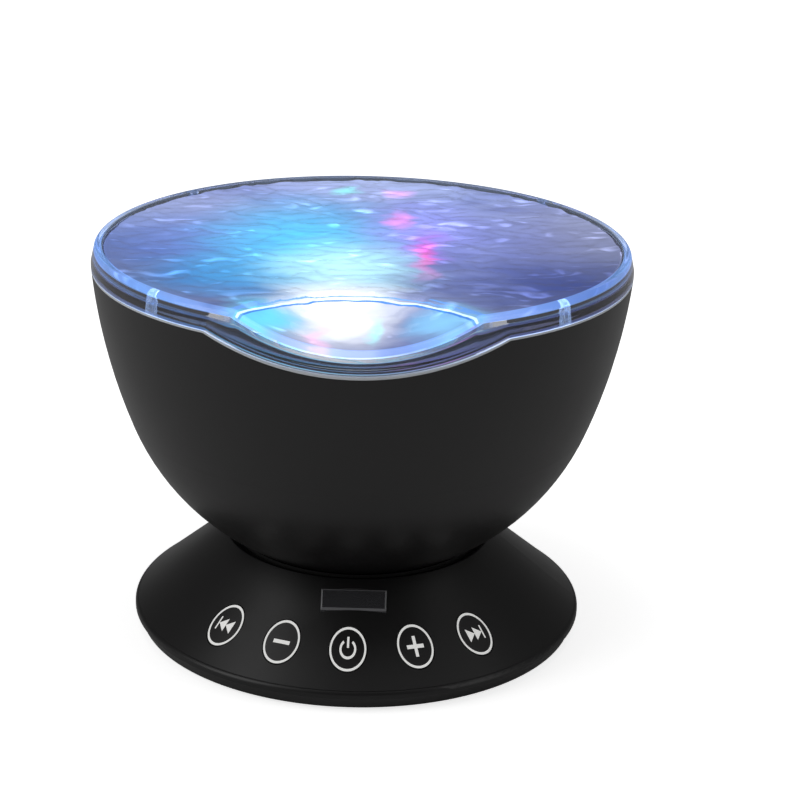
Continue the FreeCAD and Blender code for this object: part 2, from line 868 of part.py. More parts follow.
place(nut_block, 0, 0, nut_low)
node("clamp_nut", cut("clamp_nut", nut_block, cylinder("nut_hole", stud_hole, nut_low - 1, nut_low + d.nut_height + 1)))


# Head: bowl, whose rim and cover dip at the front where a large ball would touch them.
def above_rim(name, lift):
    """Everything above the rim's level raised by a lift, with the front dip."""
    level = d.rim_height + lift
    slab = cylinder(name + "_slab", d.rim_radius + 10, level, level + 20)
    ball = sphere(name + "_ball", d.scoop_radius, 0, -d.scoop_front, level + d.scoop_rise)
    return fuse(name, slab, ball)


inner_ball = d.ball_radius - d.bowl_wall
ball_to_break = d.pivot_height - d.bowl_break_height
break_outer = root(d.ball_radius * d.ball_radius - ball_to_break * ball_to_break)
break_inner = root(inner_ball * inner_ball - ball_to_break * ball_to_break)
bowl_turned = turned("bowl_shell", [
    (0, d.pivot_height - d.ball_radius),
    (break_outer, d.bowl_break_height),
    (d.rim_radius, d.rim_height),
    (d.rim_radius - d.bowl_wall, d.rim_height),
    (break_inner, d.bowl_break_height),
    (0, d.pivot_height - inner_ball),
], {
    0: (d.ball_radius, -1),
    1: (d.bowl_side_radius, -1),
    3: (d.bowl_side_radius - d.bowl_wall, 1),
    4: (inner_ball, 1),
})
ledge_top = d.deck_height - d.seat_clearance
ledge = ring("deck_ledge", d.ledge_inner, d.ledge_outer, ledge_top - d.ledge_height, ledge_top)
tray_ledge_top = d.tray_height - d.seat_clearance
tray_ledge = ring(
    "tray_ledge", d.tray_ledge_inner, d.tray_ledge_outer, tray_ledge_top - d.tray_ledge_height, tray_ledge_top)
slot = doc.addObject("Part::Cylinder", "tilt_slot")
slot_start = math.radians(d.slot_margin_angle.value)
slot.Placement = Placement(Vector(), Rotation(
    Vector(0, -math.sin(slot_start), -math.cos(slot_start)),
    Vector(0, math.cos(slot_start), -math.sin(slot_start)),
    Vector(1, 0, 0),
    "ZXY",
))
bind(slot, "Radius", d.ball_radius + 2)
bind(slot, "Height", d.slot_width)
bind(slot, "Angle", d.tilt_angle + d.slot_margin_angle * 2)
place(slot, -d.slot_width / 2, 0, d.pivot_height)
third_angles = [30, 150, 270]
small_pilot = d.small_screw_radius + d.screw_gap
deck_pilots = around(
    "deck_pilot",
    lambda name, x, y: cylinder(name, small_pilot, ledge_top - d.ledge_height - 1, ledge_top + 1, x, y),
    d.deck_screw_circle,
    third_angles,
)
tray_pilots = around(
    "tray_pilot",
    lambda name, x, y: cylinder(name, small_pilot, tray_ledge_top - d.tray_ledge_height - 1, tray_ledge_top + 1, x, y),
    d.tray_screw_circle,
    third_angles,
)
bowl_solid = fuse("bowl_solid", bowl_turned, ledge, tray_ledge)
node("bowl", cut("bowl", bowl_solid, slot, above_rim("bowl_top_cut", -d.gasket_height), *deck_pilots, *tray_pilots))

# Rim gasket: a thin pale ring between bowl and cover that follows the dip.
gasket_layer = cut(
    "gasket_layer",
    above_rim("gasket_bottom", -d.gasket_height + d.gasket_gap),
    above_rim("gasket_top", -d.gasket_gap),
)
rim_foot = d.rim_height - d.cover_reach
gasket_outer = turned("gasket_outer", [
    (d.rim_radius - d.cover_taper - d.bowl_wall, rim_foot),
    (d.rim_radius - d.cover_taper, rim_foot),
    (d.rim_radius, d.rim_height),
    (d.rim_radius - d.bowl_wall, d.rim_height),
])
node("rim_gasket", common("rim_gasket", gasket_outer, gasket_layer))

# Cover: one clear moulding with a skirt, a flat top, the scooped front and four snap tabs.
cover_top = d.rim_height + d.cover_height
cover_blank = turned("cover_blank", [
    (0, rim_foot),
    (d.rim_radius - d.cover_taper, rim_foot),
    (d.rim_radius, d.rim_height),
    (d.rim_radius, d.rim_height + d.cover_band),
    (d.rim_radius - d.cover_lean, cover_top - d.cover_edge),
    (d.rim_radius - d.cover_lean - d.cover_edge, cover_top),
    (0, cover_top),
], {4: (d.cover_edge, -1)})
cover_hollow = turned("cover_hollow", [
    (0, rim_foot - 1),
    (d.rim_radius - d.cover_taper - d.cover_wall - 0.2, rim_foot - 1),
    (d.rim_radius - d.cover_wall, d.rim_height),
    (d.rim_radius - d.cover_wall, d.rim_height + d.cover_band),
    (d.rim_radius - d.cover_lean - d.cover_wall, cover_top - d.cover_wall),
    (0, cover_top - d.cover_wall),
])
scoop_height = cover_top + d.scoop_rise
scoop = sphere("scoop", d.scoop_radius, 0, -d.scoop_front, scoop_height)
scoop_inner = sphere("scoop_inner", d.scoop_radius + d.cover_wall, 0, -d.scoop_front, scoop_height)
cover_shell = cut("cover_shell", cover_blank, scoop, cut("cover_space", cover_hollow, scoop_inner))
cover_trimmed = common("cover_trimmed", cover_shell, above_rim("cover_foot", 0))
half_tab = d.tab_width / 2
tabs = []
for index, angle in enumerate([
    d.tab_angle - 90,
    -90 - d.tab_angle,
    90 - d.tab_angle,
    90 + d.tab_angle,
]):
    tab = doc.addObject("Part::Box", f"cover_tab_{index + 1}")
    tab.Placement = Placement(Vector(), Rotation(Vector(0, 0, 1), angle.value))
    bind(tab, "Length", d.tab_thickness)
    bind(tab, "Width", d.tab_width)
    bind(tab, "Height", cover_top - d.cover_wall / 2 - d.rim_height + d.tab_depth)
    bind(tab, "Placement.Rotation.Angle", angle)
    place(
        tab,
        d.tab_radius * cosine(angle) + half_tab * sine(angle),
        d.tab_radius * sine(angle) - half_tab * cosine(angle),
        d.rim_height - d.tab_depth,
    )
    tabs.append(tab)
node("cover", fuse("cover", cover_trimmed, *tabs))

# Inside the head: deck, aluminium spreader, lamp board with its lamps, reflector and fixed lens.
deck_top = d.deck_height + d.deck_thickness
deck_plate = cylinder("deck_plate", d.deck_radius, d.deck_height, deck_top)
deck_lead_hole = cylinder("deck_lead_hole", d.lead_hole, d.deck_height - 1, deck_top + 1, 0, 45.5)
deck_holes = around(
    "deck_hole",
    lambda name, x, y: cylinder(name, d.small_screw_radius + 0.2, d.deck_height - 1, deck_top + 1, x, y),
    d.deck_screw_circle,
    third_angles,
)
node("head_deck", cut("head_deck", deck_plate, deck_lead_hole, *deck_holes))
node("deck_screws", group("deck_screws", around(
    "deck_screw",
    lambda name, x, y: screw(
        name, x, y, deck_top + 0.05, deck_top + 0.05 + d.small_head_height, ledge_top - d.ledge_height + 0.4,
        d.small_head_radius, d.small_screw_radius),
    d.deck_screw_circle,
    third_angles,
)))
on_deck = deck_top + d.seat_clearance
spreader_top = on_deck + d.spreader_thickness
node("heat_spreader", ring("heat_spreader", d.led_board_bore, d.led_board_radius, on_deck, spreader_top))
lamp_board_low = spreader_top + d.seat_clearance
lamp_board_top = lamp_board_low + d.main_board_thickness
node("lamp_board", ring("lamp_board", d.led_board_bore, d.led_board_radius, lamp_board_low, lamp_board_top))
node("led_lamps", group("led_lamps", around(
    "led_lamp",
    lambda name, x, y: fuse(
        name,
        cylinder(name + "_body", d.led_radius, lamp_board_top + 0.02, lamp_board_top + 1.2, x, y),
        cylinder(name + "_dome", d.led_radius - 0.8, lamp_board_top + 1, lamp_board_top + 2.2, x, y),
    ),
    d.led_circle,
    [30 * step for step in range(12)],
)))
reflector_top = d.tray_height - 0.3
node("reflector", turned("reflector", [
    (d.reflector_inner, on_deck),
    (d.reflector_foot, on_deck),
    (d.reflector_foot, on_deck + d.reflector_wall),
    (d.reflector_inner + 2.0, on_deck + d.reflector_wall),
    (d.reflector_mouth + d.reflector_wall, reflector_top),
    (d.reflector_mouth, reflector_top),
]))
lens_top = d.lens_height + d.lens_thickness
post_hole = d.post_radius + 0.2
node("fixed_lens", ring("fixed_lens", post_hole, d.lens_radius, d.lens_height, lens_top))

# Turning parts: post, pin, the clear ripple disc on its ring gear, and the small gear motor.
tray_top = d.tray_height + d.tray_thickness
gear_low = tray_top + d.gear_lift
gear_top = gear_low + d.gear_height
disc_low = gear_top + d.seat_clearance
disc_top = disc_low + d.disc_thickness
hub_low = gear_low + 0.6
post_top = hub_low - d.washer_thickness - 0.3
pin_low = post_top - d.axle_depth
pin_hole = d.axle_radius + 0.02
node("axle_post", turned("axle_post", [
    (0, on_deck),
    (d.post_foot_radius, on_deck),
    (d.post_foot_radius, on_deck + d.reflector_wall),
    (d.post_radius, on_deck + d.reflector_wall),
    (d.post_radius, post_top),
    (pin_hole, post_top),
    (pin_hole, pin_low),
    (0, pin_low),
]))
node("disc_axle", cylinder("disc_axle", d.axle_radius, pin_low + 0.05, d.axle_top_height))
bearing_hole = d.axle_radius + d.running_gap
node("thrust_washer", ring(
    "thrust_washer", bearing_hole, d.post_radius, post_top + 0.02, post_top + 0.02 + d.washer_thickness))
node("ripple_disc", turned("ripple_disc", [
    (bearing_hole, hub_low),
    (d.hub_radius, hub_low),
    (d.hub_radius, disc_low),
    (d.disc_radius, disc_low),
    (d.disc_radius, disc_top),
    (bearing_hole, disc_top),
]))
node("axle_clip", ring("axle_clip", pin_hole, d.clip_radius, disc_top + 0.3, disc_top + 0.3 + d.clip_thickness))


def gear(name, teeth, bore, x, y):
    """A spur gear with straight-sided teeth, its first tooth pointing along +X."""
    module = d.gear_module.value
    pitch_radius = module * teeth.value / 2
    root_radius = pitch_radius - 1.2 * module
    tip_radius = pitch_radius + 0.8 * module
    thickness = math.pi * module / 2 - d.gear_backlash.value
    lean = math.tan(math.radians(20))
    root_half = (thickness / 2 + 1.2 * module * lean) / root_radius
    tip_half = (thickness / 2 - 0.8 * module * lean) / tip_radius
    count = int(teeth.value)
    corners = []
    for tooth in range(count):
        middle = 2 * math.pi * tooth / count
        for radius, half in ((root_radius, -root_half), (tip_radius, -tip_half),
                             (tip_radius, tip_half), (root_radius, root_half)):
            corners.append(Vector(radius * math.cos(middle + half), radius * math.sin(middle + half), 0))
    wire = Part.makePolygon(corners + [corners[0]])
    blank = Part.Face(wire).extrude(Vector(0, 0, d.gear_height.value))
    hole = Part.makeCylinder(bore.value, d.gear_height.value + 2, Vector(0, 0, -1))
    thing = doc.addObject("Part::Feature", name)
    thing.Shape = blank.cut(hole)
    place(thing, x, y, gear_low)
    return thing


pinion_place = d.gear_module * (d.ring_teeth + d.pinion_teeth) / 2
node("ring_gear", gear("ring_gear", d.ring_teeth, d.ring_bore, 0, 0))
shaft_hole = d.motor_shaft_radius + 0.02
node("drive_pinion", gear("drive_pinion", d.pinion_teeth, shaft_hole, 0, pinion_place))
bracket_top = d.tray_height - d.seat_clearance
bracket_low = bracket_top - d.bracket_thickness
motor_top = bracket_low - d.seat_clearance
node("gear_motor", cylinder("gear_motor", d.motor_radius, motor_top - d.motor_length, motor_top, 0, pinion_place))
node("motor_shaft", cylinder("motor_shaft", d.motor_shaft_radius, motor_top + 0.05, gear_top + 0.6, 0, pinion_place))
half_bracket = d.bracket_width / 2
motor_screw_places = [(-d.motor_screw_spacing, pinion_place), (d.motor_screw_spacing, pinion_place)]
node("motor_bracket", cut(
    "motor_bracket",
    box("bracket_sheet", (-half_bracket, half_bracket),
        (pinion_place - d.bracket_depth / 2, pinion_place + d.bracket_depth / 2), (bracket_low, bracket_top)),
    cylinder("bracket_bush", d.motor_shaft_radius + d.running_gap, bracket_low - 1, bracket_top + 1, 0, pinion_place),
    *[cylinder(f"bracket_pilot_{index}", small_pilot, bracket_low - 1, bracket_top + 1, x, y)
      for index, (x, y) in enumerate(motor_screw_places)],
))
node("motor_screws", group("motor_screws", [
    screw(f"motor_screw_{index}", x, y, tray_top + 0.05, tray_top + 0.05 + d.small_head_height,
          bracket_low - 0.5, d.small_head_radius, d.small_screw_radius)
    for index, (x, y) in enumerate(motor_screw_places)
]))
rise_share = (d.tray_height - d.bowl_break_height) / (d.rim_height - d.bowl_break_height)
tray_radius = break_outer + (d.rim_radius - break_outer) * rise_share - d.bowl_wall - 0.3
tray_holes = around(
    "tray_hole",
    lambda name, x, y: cylinder(name, d.small_screw_radius + 0.2, d.tray_height - 1, tray_top + 1, x, y),
    d.tray_screw_circle,
    third_angles,
)
node("upper_tray", cut(
    "upper_tray",
    cylinder("tray_sheet", tray_radius, d.tray_height, tray_top),
    cylinder("tray_mouth", d.tray_opening, d.tray_height - 1, tray_top + 1),
    cylinder("tray_shaft_hole", 3.0, d.tray_height - 1, tray_top + 1, 0, pinion_place),
    *tray_holes,
    *[cylinder(f"tray_motor_hole_{index}", d.small_screw_radius + 0.2, d.tray_height - 1, tray_top + 1, x, y)
      for index, (x, y) in enumerate(motor_screw_places)],
))
node("tray_screws", group("tray_screws", around(
    "tray_screw",
    lambda name, x, y: screw(
        name, x, y, tray_top + 0.05, tray_top + 0.05 + d.small_head_height,
        tray_ledge_top - d.tray_ledge_height + 0.4, d.small_head_radius, d.small_screw_radius),
    d.tray_screw_circle,
    third_angles,
)))

doc.recompute()

failed = [item.Name for item in doc.Objects if "Invalid" in item.State or "Error" in item.State]
if failed:
    raise RuntimeError("failed objects: " + ", ".join(failed))
for thing, path, dim in bindings:
    if path in ("Radius", "Height", "Length", "Width", "Circumradius"):
        found = float(getattr(thing, path))
        if abs(found - dim.value) > 1e-6:
            raise RuntimeError(f"{thing.Name}.{path} is {found}, not {dim.value}")
os.makedirs("parts", exist_ok=True)
for name, thing in nodes.items():
    shape = thing.Shape
    if shape.isNull() or not shape.isValid() or not shape.Solids:
        raise RuntimeError(f"{name} has no valid solid")
    shape.exportStep(os.path.join("parts", name + ".step"))
    extent = shape.BoundBox
    print(f"{name}: {len(shape.Solids)} solid(s), {shape.Volume:.0f} mm3, "
          f"z {extent.ZMin:.2f} to {extent.ZMax:.2f}")
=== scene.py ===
# %% [markdown]
# # Star night light projector
# The object is a black bowl that leans on a round base. Its clear cover is moulded with water ripples and
# glows from inside. The construction is fixed and loaded first: this file adds only surface, light and
# the fine forms that the eye expects.

# %% Load the fixed construction
import json
import math

import bpy
from mathutils import Matrix, Vector, noise


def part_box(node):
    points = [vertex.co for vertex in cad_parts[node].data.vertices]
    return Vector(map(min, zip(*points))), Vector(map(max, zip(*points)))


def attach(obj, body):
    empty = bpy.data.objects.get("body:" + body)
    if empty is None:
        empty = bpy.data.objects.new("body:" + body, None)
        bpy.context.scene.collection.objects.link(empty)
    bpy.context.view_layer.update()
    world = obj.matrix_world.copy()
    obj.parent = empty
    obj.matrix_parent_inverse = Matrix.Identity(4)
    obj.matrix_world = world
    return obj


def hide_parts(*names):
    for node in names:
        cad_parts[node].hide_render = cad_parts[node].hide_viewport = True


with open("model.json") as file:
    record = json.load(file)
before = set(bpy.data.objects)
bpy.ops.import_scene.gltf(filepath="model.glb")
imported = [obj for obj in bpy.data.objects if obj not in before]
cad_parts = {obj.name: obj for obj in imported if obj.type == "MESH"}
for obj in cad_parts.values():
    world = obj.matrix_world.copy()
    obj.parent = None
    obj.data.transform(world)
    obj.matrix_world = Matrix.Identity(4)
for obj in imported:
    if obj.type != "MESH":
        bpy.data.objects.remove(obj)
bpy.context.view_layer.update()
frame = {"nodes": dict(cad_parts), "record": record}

scene = bpy.context.scene
MM = 0.001
print("construction loaded:", len(frame["nodes"]), "nodes")

# %% [markdown]
# ## Small helpers
# Colours are written as the hex values that a picture editor shows, so one function turns them into the
# linear values that a shader needs. One more adds a shader node with its settings and its links.
# Patterns are sized in real millimetres, so one more turns a size into a texture's scale.

# %% Helpers for colour and nodes


def linear(hex_text):
    """An sRGB hex colour as linear red, green, blue and an alpha of 1."""
    channels = [int(hex_text[i:i + 2], 16) / 255 for i in (1, 3, 5)]
    bent = [c / 12.92 if c <= 0.04045 else ((c + 0.055) / 1.055) ** 2.4 for c in channels]
    return (*bent, 1.0)


def add_node(tree, kind, settings=None, inputs=None):
    """Adds a node. An input that is a socket is linked, and any other value is set."""
    node = tree.nodes.new(kind)
    for name, value in (settings or {}).items():
        setattr(node, name, value)
    for name, value in (inputs or {}).items():
        if isinstance(value, bpy.types.NodeSocket):
            tree.links.new(value, node.inputs[name])
        else:
            node.inputs[name].default_value = value
    return node


def per_mm(size):
    """Texture scale whose pattern repeats about once in a size in millimetres."""
    return 1 / (size * MM)


def new_material(name):
    """An empty node material and its output node."""
    material = bpy.data.materials.new(name)
    material.use_nodes = True
    material.node_tree.nodes.clear()
    output = add_node(material.node_tree, "ShaderNodeOutputMaterial")
    return material, material.node_tree, output


print("black is", linear("#000000"), "and white is", linear("#ffffff"))

# %% [markdown]
# ## Making a piece
# Every mesh is written in millimetres. Each piece says which body it rides on and which finish it takes.

# %% Helper for meshes


def add_mesh(name, points, faces, material, body, smooth=True):
    """A mesh piece in millimetres, riding on a body."""
    mesh = bpy.data.meshes.new(name)
    mesh.from_pydata([[c * MM for c in p] for p in points], [], faces)
    mesh.update()
    mesh.polygons.foreach_set("use_smooth", [smooth] * len(mesh.polygons))
    mesh.materials.append(material)
    piece = bpy.data.objects.new(name, mesh)
    scene.collection.objects.link(piece)
    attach(piece, body)
    return piece


print("a millimetre is", MM, "metres")

# %% [markdown]
# ## Moulded ABS
# The bowl and base are injection-moulded ABS from a spark-eroded mould. That leaves a very fine grain, so
# the black is satin: lamps spread to soft bands. ABS has an IOR of 1.54. The real grain is too fine to
# show, so it is drawn at 0.4 mm. Colour and gloss drift slowly, over about 25 mm, as flow in a mould
# leaves them.

# %% Moulded plastic, as a recipe
GRAIN_MM = 0.4
DRIFT_MM = 25.0
GLOSS_DRIFT = 0.03
ABS_IOR = 1.54


def moulded_plastic(name, colour, roughness, grain_height=0.006, mottle=0.05):
    """Satin moulded plastic: slight colour drift, uneven gloss and a fine grain."""
    material, tree, output = new_material(name)
    place = add_node(tree, "ShaderNodeTexCoord").outputs["Object"]
    drift = add_node(tree, "ShaderNodeTexNoise", {}, {
        "Vector": place, "Scale": per_mm(DRIFT_MM), "Detail": 3.0})
    grain = add_node(tree, "ShaderNodeTexNoise", {}, {
        "Vector": place, "Scale": per_mm(GRAIN_MM), "Detail": 2.0})
    shade = add_node(tree, "ShaderNodeMix", {"data_type": "RGBA"}, {"Factor": drift.outputs["Fac"]})
    dark = linear(colour)
    shade.inputs["A"].default_value = [c * (1 - mottle * 2) for c in dark[:3]] + [1]
    shade.inputs["B"].default_value = [c * (1 + mottle * 2) for c in dark[:3]] + [1]
    gloss = add_node(tree, "ShaderNodeMapRange", {}, {
        "Value": drift.outputs["Fac"], "To Min": roughness - GLOSS_DRIFT,
        "To Max": roughness + GLOSS_DRIFT})
    bump = add_node(tree, "ShaderNodeBump", {}, {
        "Height": grain.outputs["Fac"], "Strength": 0.3, "Distance": grain_height * MM})
    skin = add_node(tree, "ShaderNodeBsdfPrincipled", {}, {
        "Base Color": shade.outputs["Result"], "Roughness": gloss.outputs["Result"],
        "Normal": bump.outputs["Normal"], "IOR": ABS_IOR})
    tree.links.new(skin.outputs["BSDF"], output.inputs["Surface"])
    return material


print("grain at", GRAIN_MM, "mm and drift at", DRIFT_MM, "mm")

# %% [markdown]
# The plastics follow, each named for its material and how it is made. The last number of some is how
# strongly the colour drifts.

# %% The moulded plastics
black_bowl = moulded_plastic("Black ABS, satin moulded", "#0f0d0e", 0.38)
black_shell = moulded_plastic("Black ABS, fine textured moulding", "#0c0b0c", 0.40)
key_plastic = moulded_plastic("Black ABS key caps, moulded", "#131112", 0.38)
foot_rubber = moulded_plastic("Black nitrile rubber, moulded", "#202020", 0.85, 0.02)
inner_plastic = moulded_plastic("Natural ABS, moulded", "#d8d8d6", 0.5)
acetal = moulded_plastic("White acetal, moulded", "#ecebe6", 0.35)
reflector_plastic = moulded_plastic("White polycarbonate, gloss moulded", "#f2f2f2", 0.2)
switch_plastic = moulded_plastic("Black nylon, moulded", "#19191b", 0.5)
board_mask = moulded_plastic("Green solder mask over glass fibre", "#1d6b36", 0.35, 0.01, 0.12)
lamp_mask = moulded_plastic("White solder mask over aluminium", "#eef0f2", 0.4)
speaker_paper = moulded_plastic("Pressed paper cone", "#26262a", 0.9, 0.05, 0.15)
window_edge = moulded_plastic("Acrylic edge, ground", "#77777a", 0.3)
gasket_rubber = moulded_plastic("Pale silicone, moulded", "#dfe4ea", 0.5)
print("plastics so far:", len(bpy.data.materials))

# %% [markdown]
# ## Metals inside
# Screws, the spring and the bracket are zinc-plated steel; the axle and the stud are turned, so their
# surface has faint rings. A wave texture repeats about every 0.3 of its unit, which gives the scale for a
# spacing in millimetres. A metal keeps the default IOR.

# %% Metals
WAVE_REPEAT = 0.3
LINE_DEPTH_MM = 0.01
LINE_GLOSS = 0.05


def worked_metal(name, colour, roughness, lines_mm):
    """Machined or plated metal with faint tool lines along Z."""
    material, tree, output = new_material(name)
    place = add_node(tree, "ShaderNodeTexCoord").outputs["Object"]
    rings = add_node(tree, "ShaderNodeTexWave", {"bands_direction": "Z"}, {
        "Vector": place, "Scale": WAVE_REPEAT * per_mm(lines_mm), "Distortion": 2.0, "Detail": 2.0})
    bump = add_node(tree, "ShaderNodeBump", {}, {
        "Height": rings.outputs["Fac"], "Strength": 0.2, "Distance": LINE_DEPTH_MM * MM})
    gloss = add_node(tree, "ShaderNodeMapRange", {}, {
        "Value": rings.outputs["Fac"], "To Min": roughness - LINE_GLOSS,
        "To Max": roughness + LINE_GLOSS})
    skin = add_node(tree, "ShaderNodeBsdfPrincipled", {}, {
        "Base Color": linear(colour), "Metallic": 1.0, "Roughness": gloss.outputs["Result"],
        "Normal": bump.outputs["Normal"]})
    tree.links.new(skin.outputs["BSDF"], output.inputs["Surface"])
    return material


zinc_steel = worked_metal("Steel, zinc plated", "#b9bcc2", 0.32, 0.5)
turned_steel = worked_metal("Steel, turned", "#c3c4c6", 0.22, 0.3)
spreader_metal = worked_metal("Aluminium, milled", "#cfd2d6", 0.35, 0.8)
speaker_steel = worked_metal("Steel, black painted", "#2b2b2d", 0.45, 0.8)
print("materials with the metals:", len(bpy.data.materials))

# %% [markdown]
# ## Clear acrylic
# The cover is injection-moulded acrylic (PMMA, IOR 1.49). Its gloss is high because the mould is
# polished. Real refraction through the ripples makes the glow beneath break up like light on water.

# %% Clear plastic, as a recipe
ACRYLIC_IOR = 1.49
HAZE_MM = 16.667
HAZE = 0.04


def clear_plastic(name, colour, roughness, ior, clearness=1.0):
    """Clear moulded plastic, a little uneven in its gloss. What isn't clear in it scatters light."""
    material, tree, output = new_material(name)
    place = add_node(tree, "ShaderNodeTexCoord").outputs["Object"]
    haze = add_node(tree, "ShaderNodeTexNoise", {}, {"Vector": place, "Scale": per_mm(HAZE_MM)})
    gloss = add_node(tree, "ShaderNodeMapRange", {}, {
        "Value": haze.outputs["Fac"], "To Min": roughness, "To Max": roughness + HAZE})
    skin = add_node(tree, "ShaderNodeBsdfPrincipled", {}, {
        "Base Color": linear(colour), "Roughness": gloss.outputs["Result"], "IOR": ior,
        "Transmission Weight": clearness})
    tree.links.new(skin.outputs["BSDF"], output.inputs["Surface"])
    return material


print("acrylic bends light by", ACRYLIC_IOR)

# %% [markdown]
# Light that enters a clear sheet leaves at its edges. The rim, the foot of the skirt and the tabs
# therefore shine a little, most towards the front.

# %% Edges that pipe light
PATCHY_MM = 22.222
COLD_SHARE = 0.2


def lit_edge(name, colour, hot_side, cold_side, strength):
    """Acrylic edge that pipes light out. It is bright towards the front and fades to the back."""
    material = clear_plastic(name, "#dfe9ff", 0.12, ACRYLIC_IOR)
    tree = material.node_tree
    skin = tree.nodes["Principled BSDF"]
    place = add_node(tree, "ShaderNodeTexCoord").outputs["Object"]
    split = add_node(tree, "ShaderNodeSeparateXYZ", {}, {"Vector": place})
    patchy = add_node(tree, "ShaderNodeTexNoise", {}, {
        "Vector": place, "Scale": per_mm(PATCHY_MM), "Detail": 2.0})
    power = add_node(tree, "ShaderNodeMapRange", {"interpolation_type": "SMOOTHSTEP"}, {
        "Value": split.outputs["Y"], "From Min": hot_side * MM, "From Max": cold_side * MM,
        "To Min": strength, "To Max": COLD_SHARE * strength})
    uneven = add_node(tree, "ShaderNodeMapRange", {}, {
        "Value": patchy.outputs["Fac"], "To Min": 0.5, "To Max": 1.4})
    total = add_node(tree, "ShaderNodeMath", {"operation": "MULTIPLY"}, {
        0: power.outputs["Result"], 1: uneven.outputs["Result"]})
    skin.inputs["Emission Color"].default_value = linear(colour)
    tree.links.new(total.outputs["Value"], skin.inputs["Emission Strength"])
    return material


print("the back edge keeps", COLD_SHARE, "of the front's light")

# %% [markdown]
# The skirt and the window scatter part of the light, so they look grey instead of clear.

# %% The clear plastics
SILICONE_IOR = 1.41
clear_acrylic = clear_plastic("Clear acrylic, polished moulding", "#eef6ff", 0.03, ACRYLIC_IOR)
rim_acrylic = lit_edge("Clear acrylic, polished edge", "#74a8f4", -20, 40, 0.5)
foot_acrylic = lit_edge("Clear acrylic, sawn foot", "#dfe8f2", -20, 60, 0.6)
tab_acrylic = lit_edge("Clear acrylic, snap tab", "#a9c8f4", -20, 40, 0.28)
skirt_acrylic = clear_plastic("Clear acrylic, light-scattering skirt", "#8f8d92", 0.05, ACRYLIC_IOR, 0.85)
smoked_acrylic = clear_plastic("Smoked acrylic, polished moulding", "#6a6a6e", 0.06, ACRYLIC_IOR, 0.7)
lamp_dome = clear_plastic("Clear silicone lamp dome", "#ffffff", 0.1, SILICONE_IOR)
print("materials so far:", len(bpy.data.materials))

# %% [markdown]
# ## Dress the construction
# Pieces whose solids already have the right form keep them and only get their real finish, chosen by the
# slot that the record gives each one.

# %% Finish by slot
FINISH = {
    "black_shell_abs": black_shell, "black_bowl_abs": black_bowl, "key_abs": key_plastic,
    "foot_rubber": foot_rubber, "zinc_steel": zinc_steel, "turned_steel": turned_steel,
    "board_fr4": board_mask, "lamp_board_white": lamp_mask, "switch_black": switch_plastic,
    "smoky_window": smoked_acrylic, "speaker_steel": speaker_steel, "speaker_paper": speaker_paper,
    "white_acetal": acetal, "inner_abs": inner_plastic, "spreader_aluminium": spreader_metal,
    "reflector_white": reflector_plastic, "lamp_lens": lamp_dome, "clear_acrylic": clear_acrylic,
    "gasket_silicone": gasket_rubber, "motor_can": zinc_steel,
}
slot_of = {row["node"]: row["material_slot"] for row in frame["record"]["subparts"]}
for node_name, solid in frame["nodes"].items():
    for material_slot in solid.material_slots:
        material_slot.material = FINISH[slot_of[node_name]]
print("finished", len(slot_of), "nodes in", len(FINISH), "materials")

# %% [markdown]
# ## The cover's form
# The cover is flat on top, with a rounded edge and a skirt. At the front a large ball would touch it, and
# leaves a shallow scoop that also makes the rim dip. The top's own scoop is a little narrower than the
# rim's. All sizes are in millimetres.

# %% Sizes of the cover
cover_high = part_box("cover")[1]
TOP = cover_high.z / MM
COVER_HEIGHT = 6.2
RIM = TOP - COVER_HEIGHT
RIM_RADIUS = cover_high.x / MM
WALL = 2.0
EDGE = 1.5
LEAN = 0.8
SCOOP_BALL = 120.0
SCOOP_RISE = 110.9
RIM_SCOOP = (88.9, math.sqrt(SCOOP_BALL ** 2 - SCOOP_RISE ** 2), SCOOP_BALL)
TOP_SCOOP = (84.2, 36.0, 77.3)
print("rim at", round(RIM, 2), "mm, radius", round(RIM_RADIUS, 2), "mm")

# %% [markdown]
# Each scoop is three numbers: how far in front its ball stands, the radius of the circle where the ball
# meets the level, and the ball's radius.

# %% How deep the scoops are


def ball_dip(x, y, front, meet, ball):
    """Depth under a level where a ball is pressed in. It meets the level on a circle."""
    across = x * x + (y + front) ** 2
    if across >= meet * meet:
        return 0.0
    return math.sqrt(ball * ball - across) - math.sqrt(ball * ball - meet * meet)


def rim_dip(x, y):
    """How far the rim drops, as the bowl's rim does."""
    return ball_dip(x, y, *RIM_SCOOP)


def top_dip(x, y):
    """How far the top drops."""
    return ball_dip(x, y, *TOP_SCOOP)


print("deepest point of the rim:", round(rim_dip(0, -RIM_RADIUS), 2), "mm")

# %% [markdown]
# The ripples are smooth dimples, longer across than deep. Their lines bend slowly, as water's do. They
# fade out in a plain border and beside the line of the scoop.

# %% The water ripples
BORDER = 69.0
FADE = 2.0
RIPPLE_HEIGHT = 0.55
DIMPLE = (5.2, 3.6)
LINE_OFFSET = 1.6
CALM_FROM = 1.0
CALM_OVER = 1.5
CALM_LEAST = 0.15


def clamp(value, least=0.0):
    """A value kept between a least one and 1."""
    return min(1.0, max(least, value))


def ripple(x, y):
    """Depth of the ripples at a plan position, from 0 to 1."""
    spot = Vector((x / DIMPLE[0], y / DIMPLE[1], 0.0))
    bend = noise.noise(spot * 0.35 + Vector((5.0, 2.0, 1.0))) * 1.6
    first = noise.noise(spot + Vector((bend, 0.5 * bend, 3.1)))
    second = noise.noise(spot * 2.2 + Vector((0.0, bend, 7.7)))
    return clamp(0.5 + 0.85 * first + 0.22 * second)


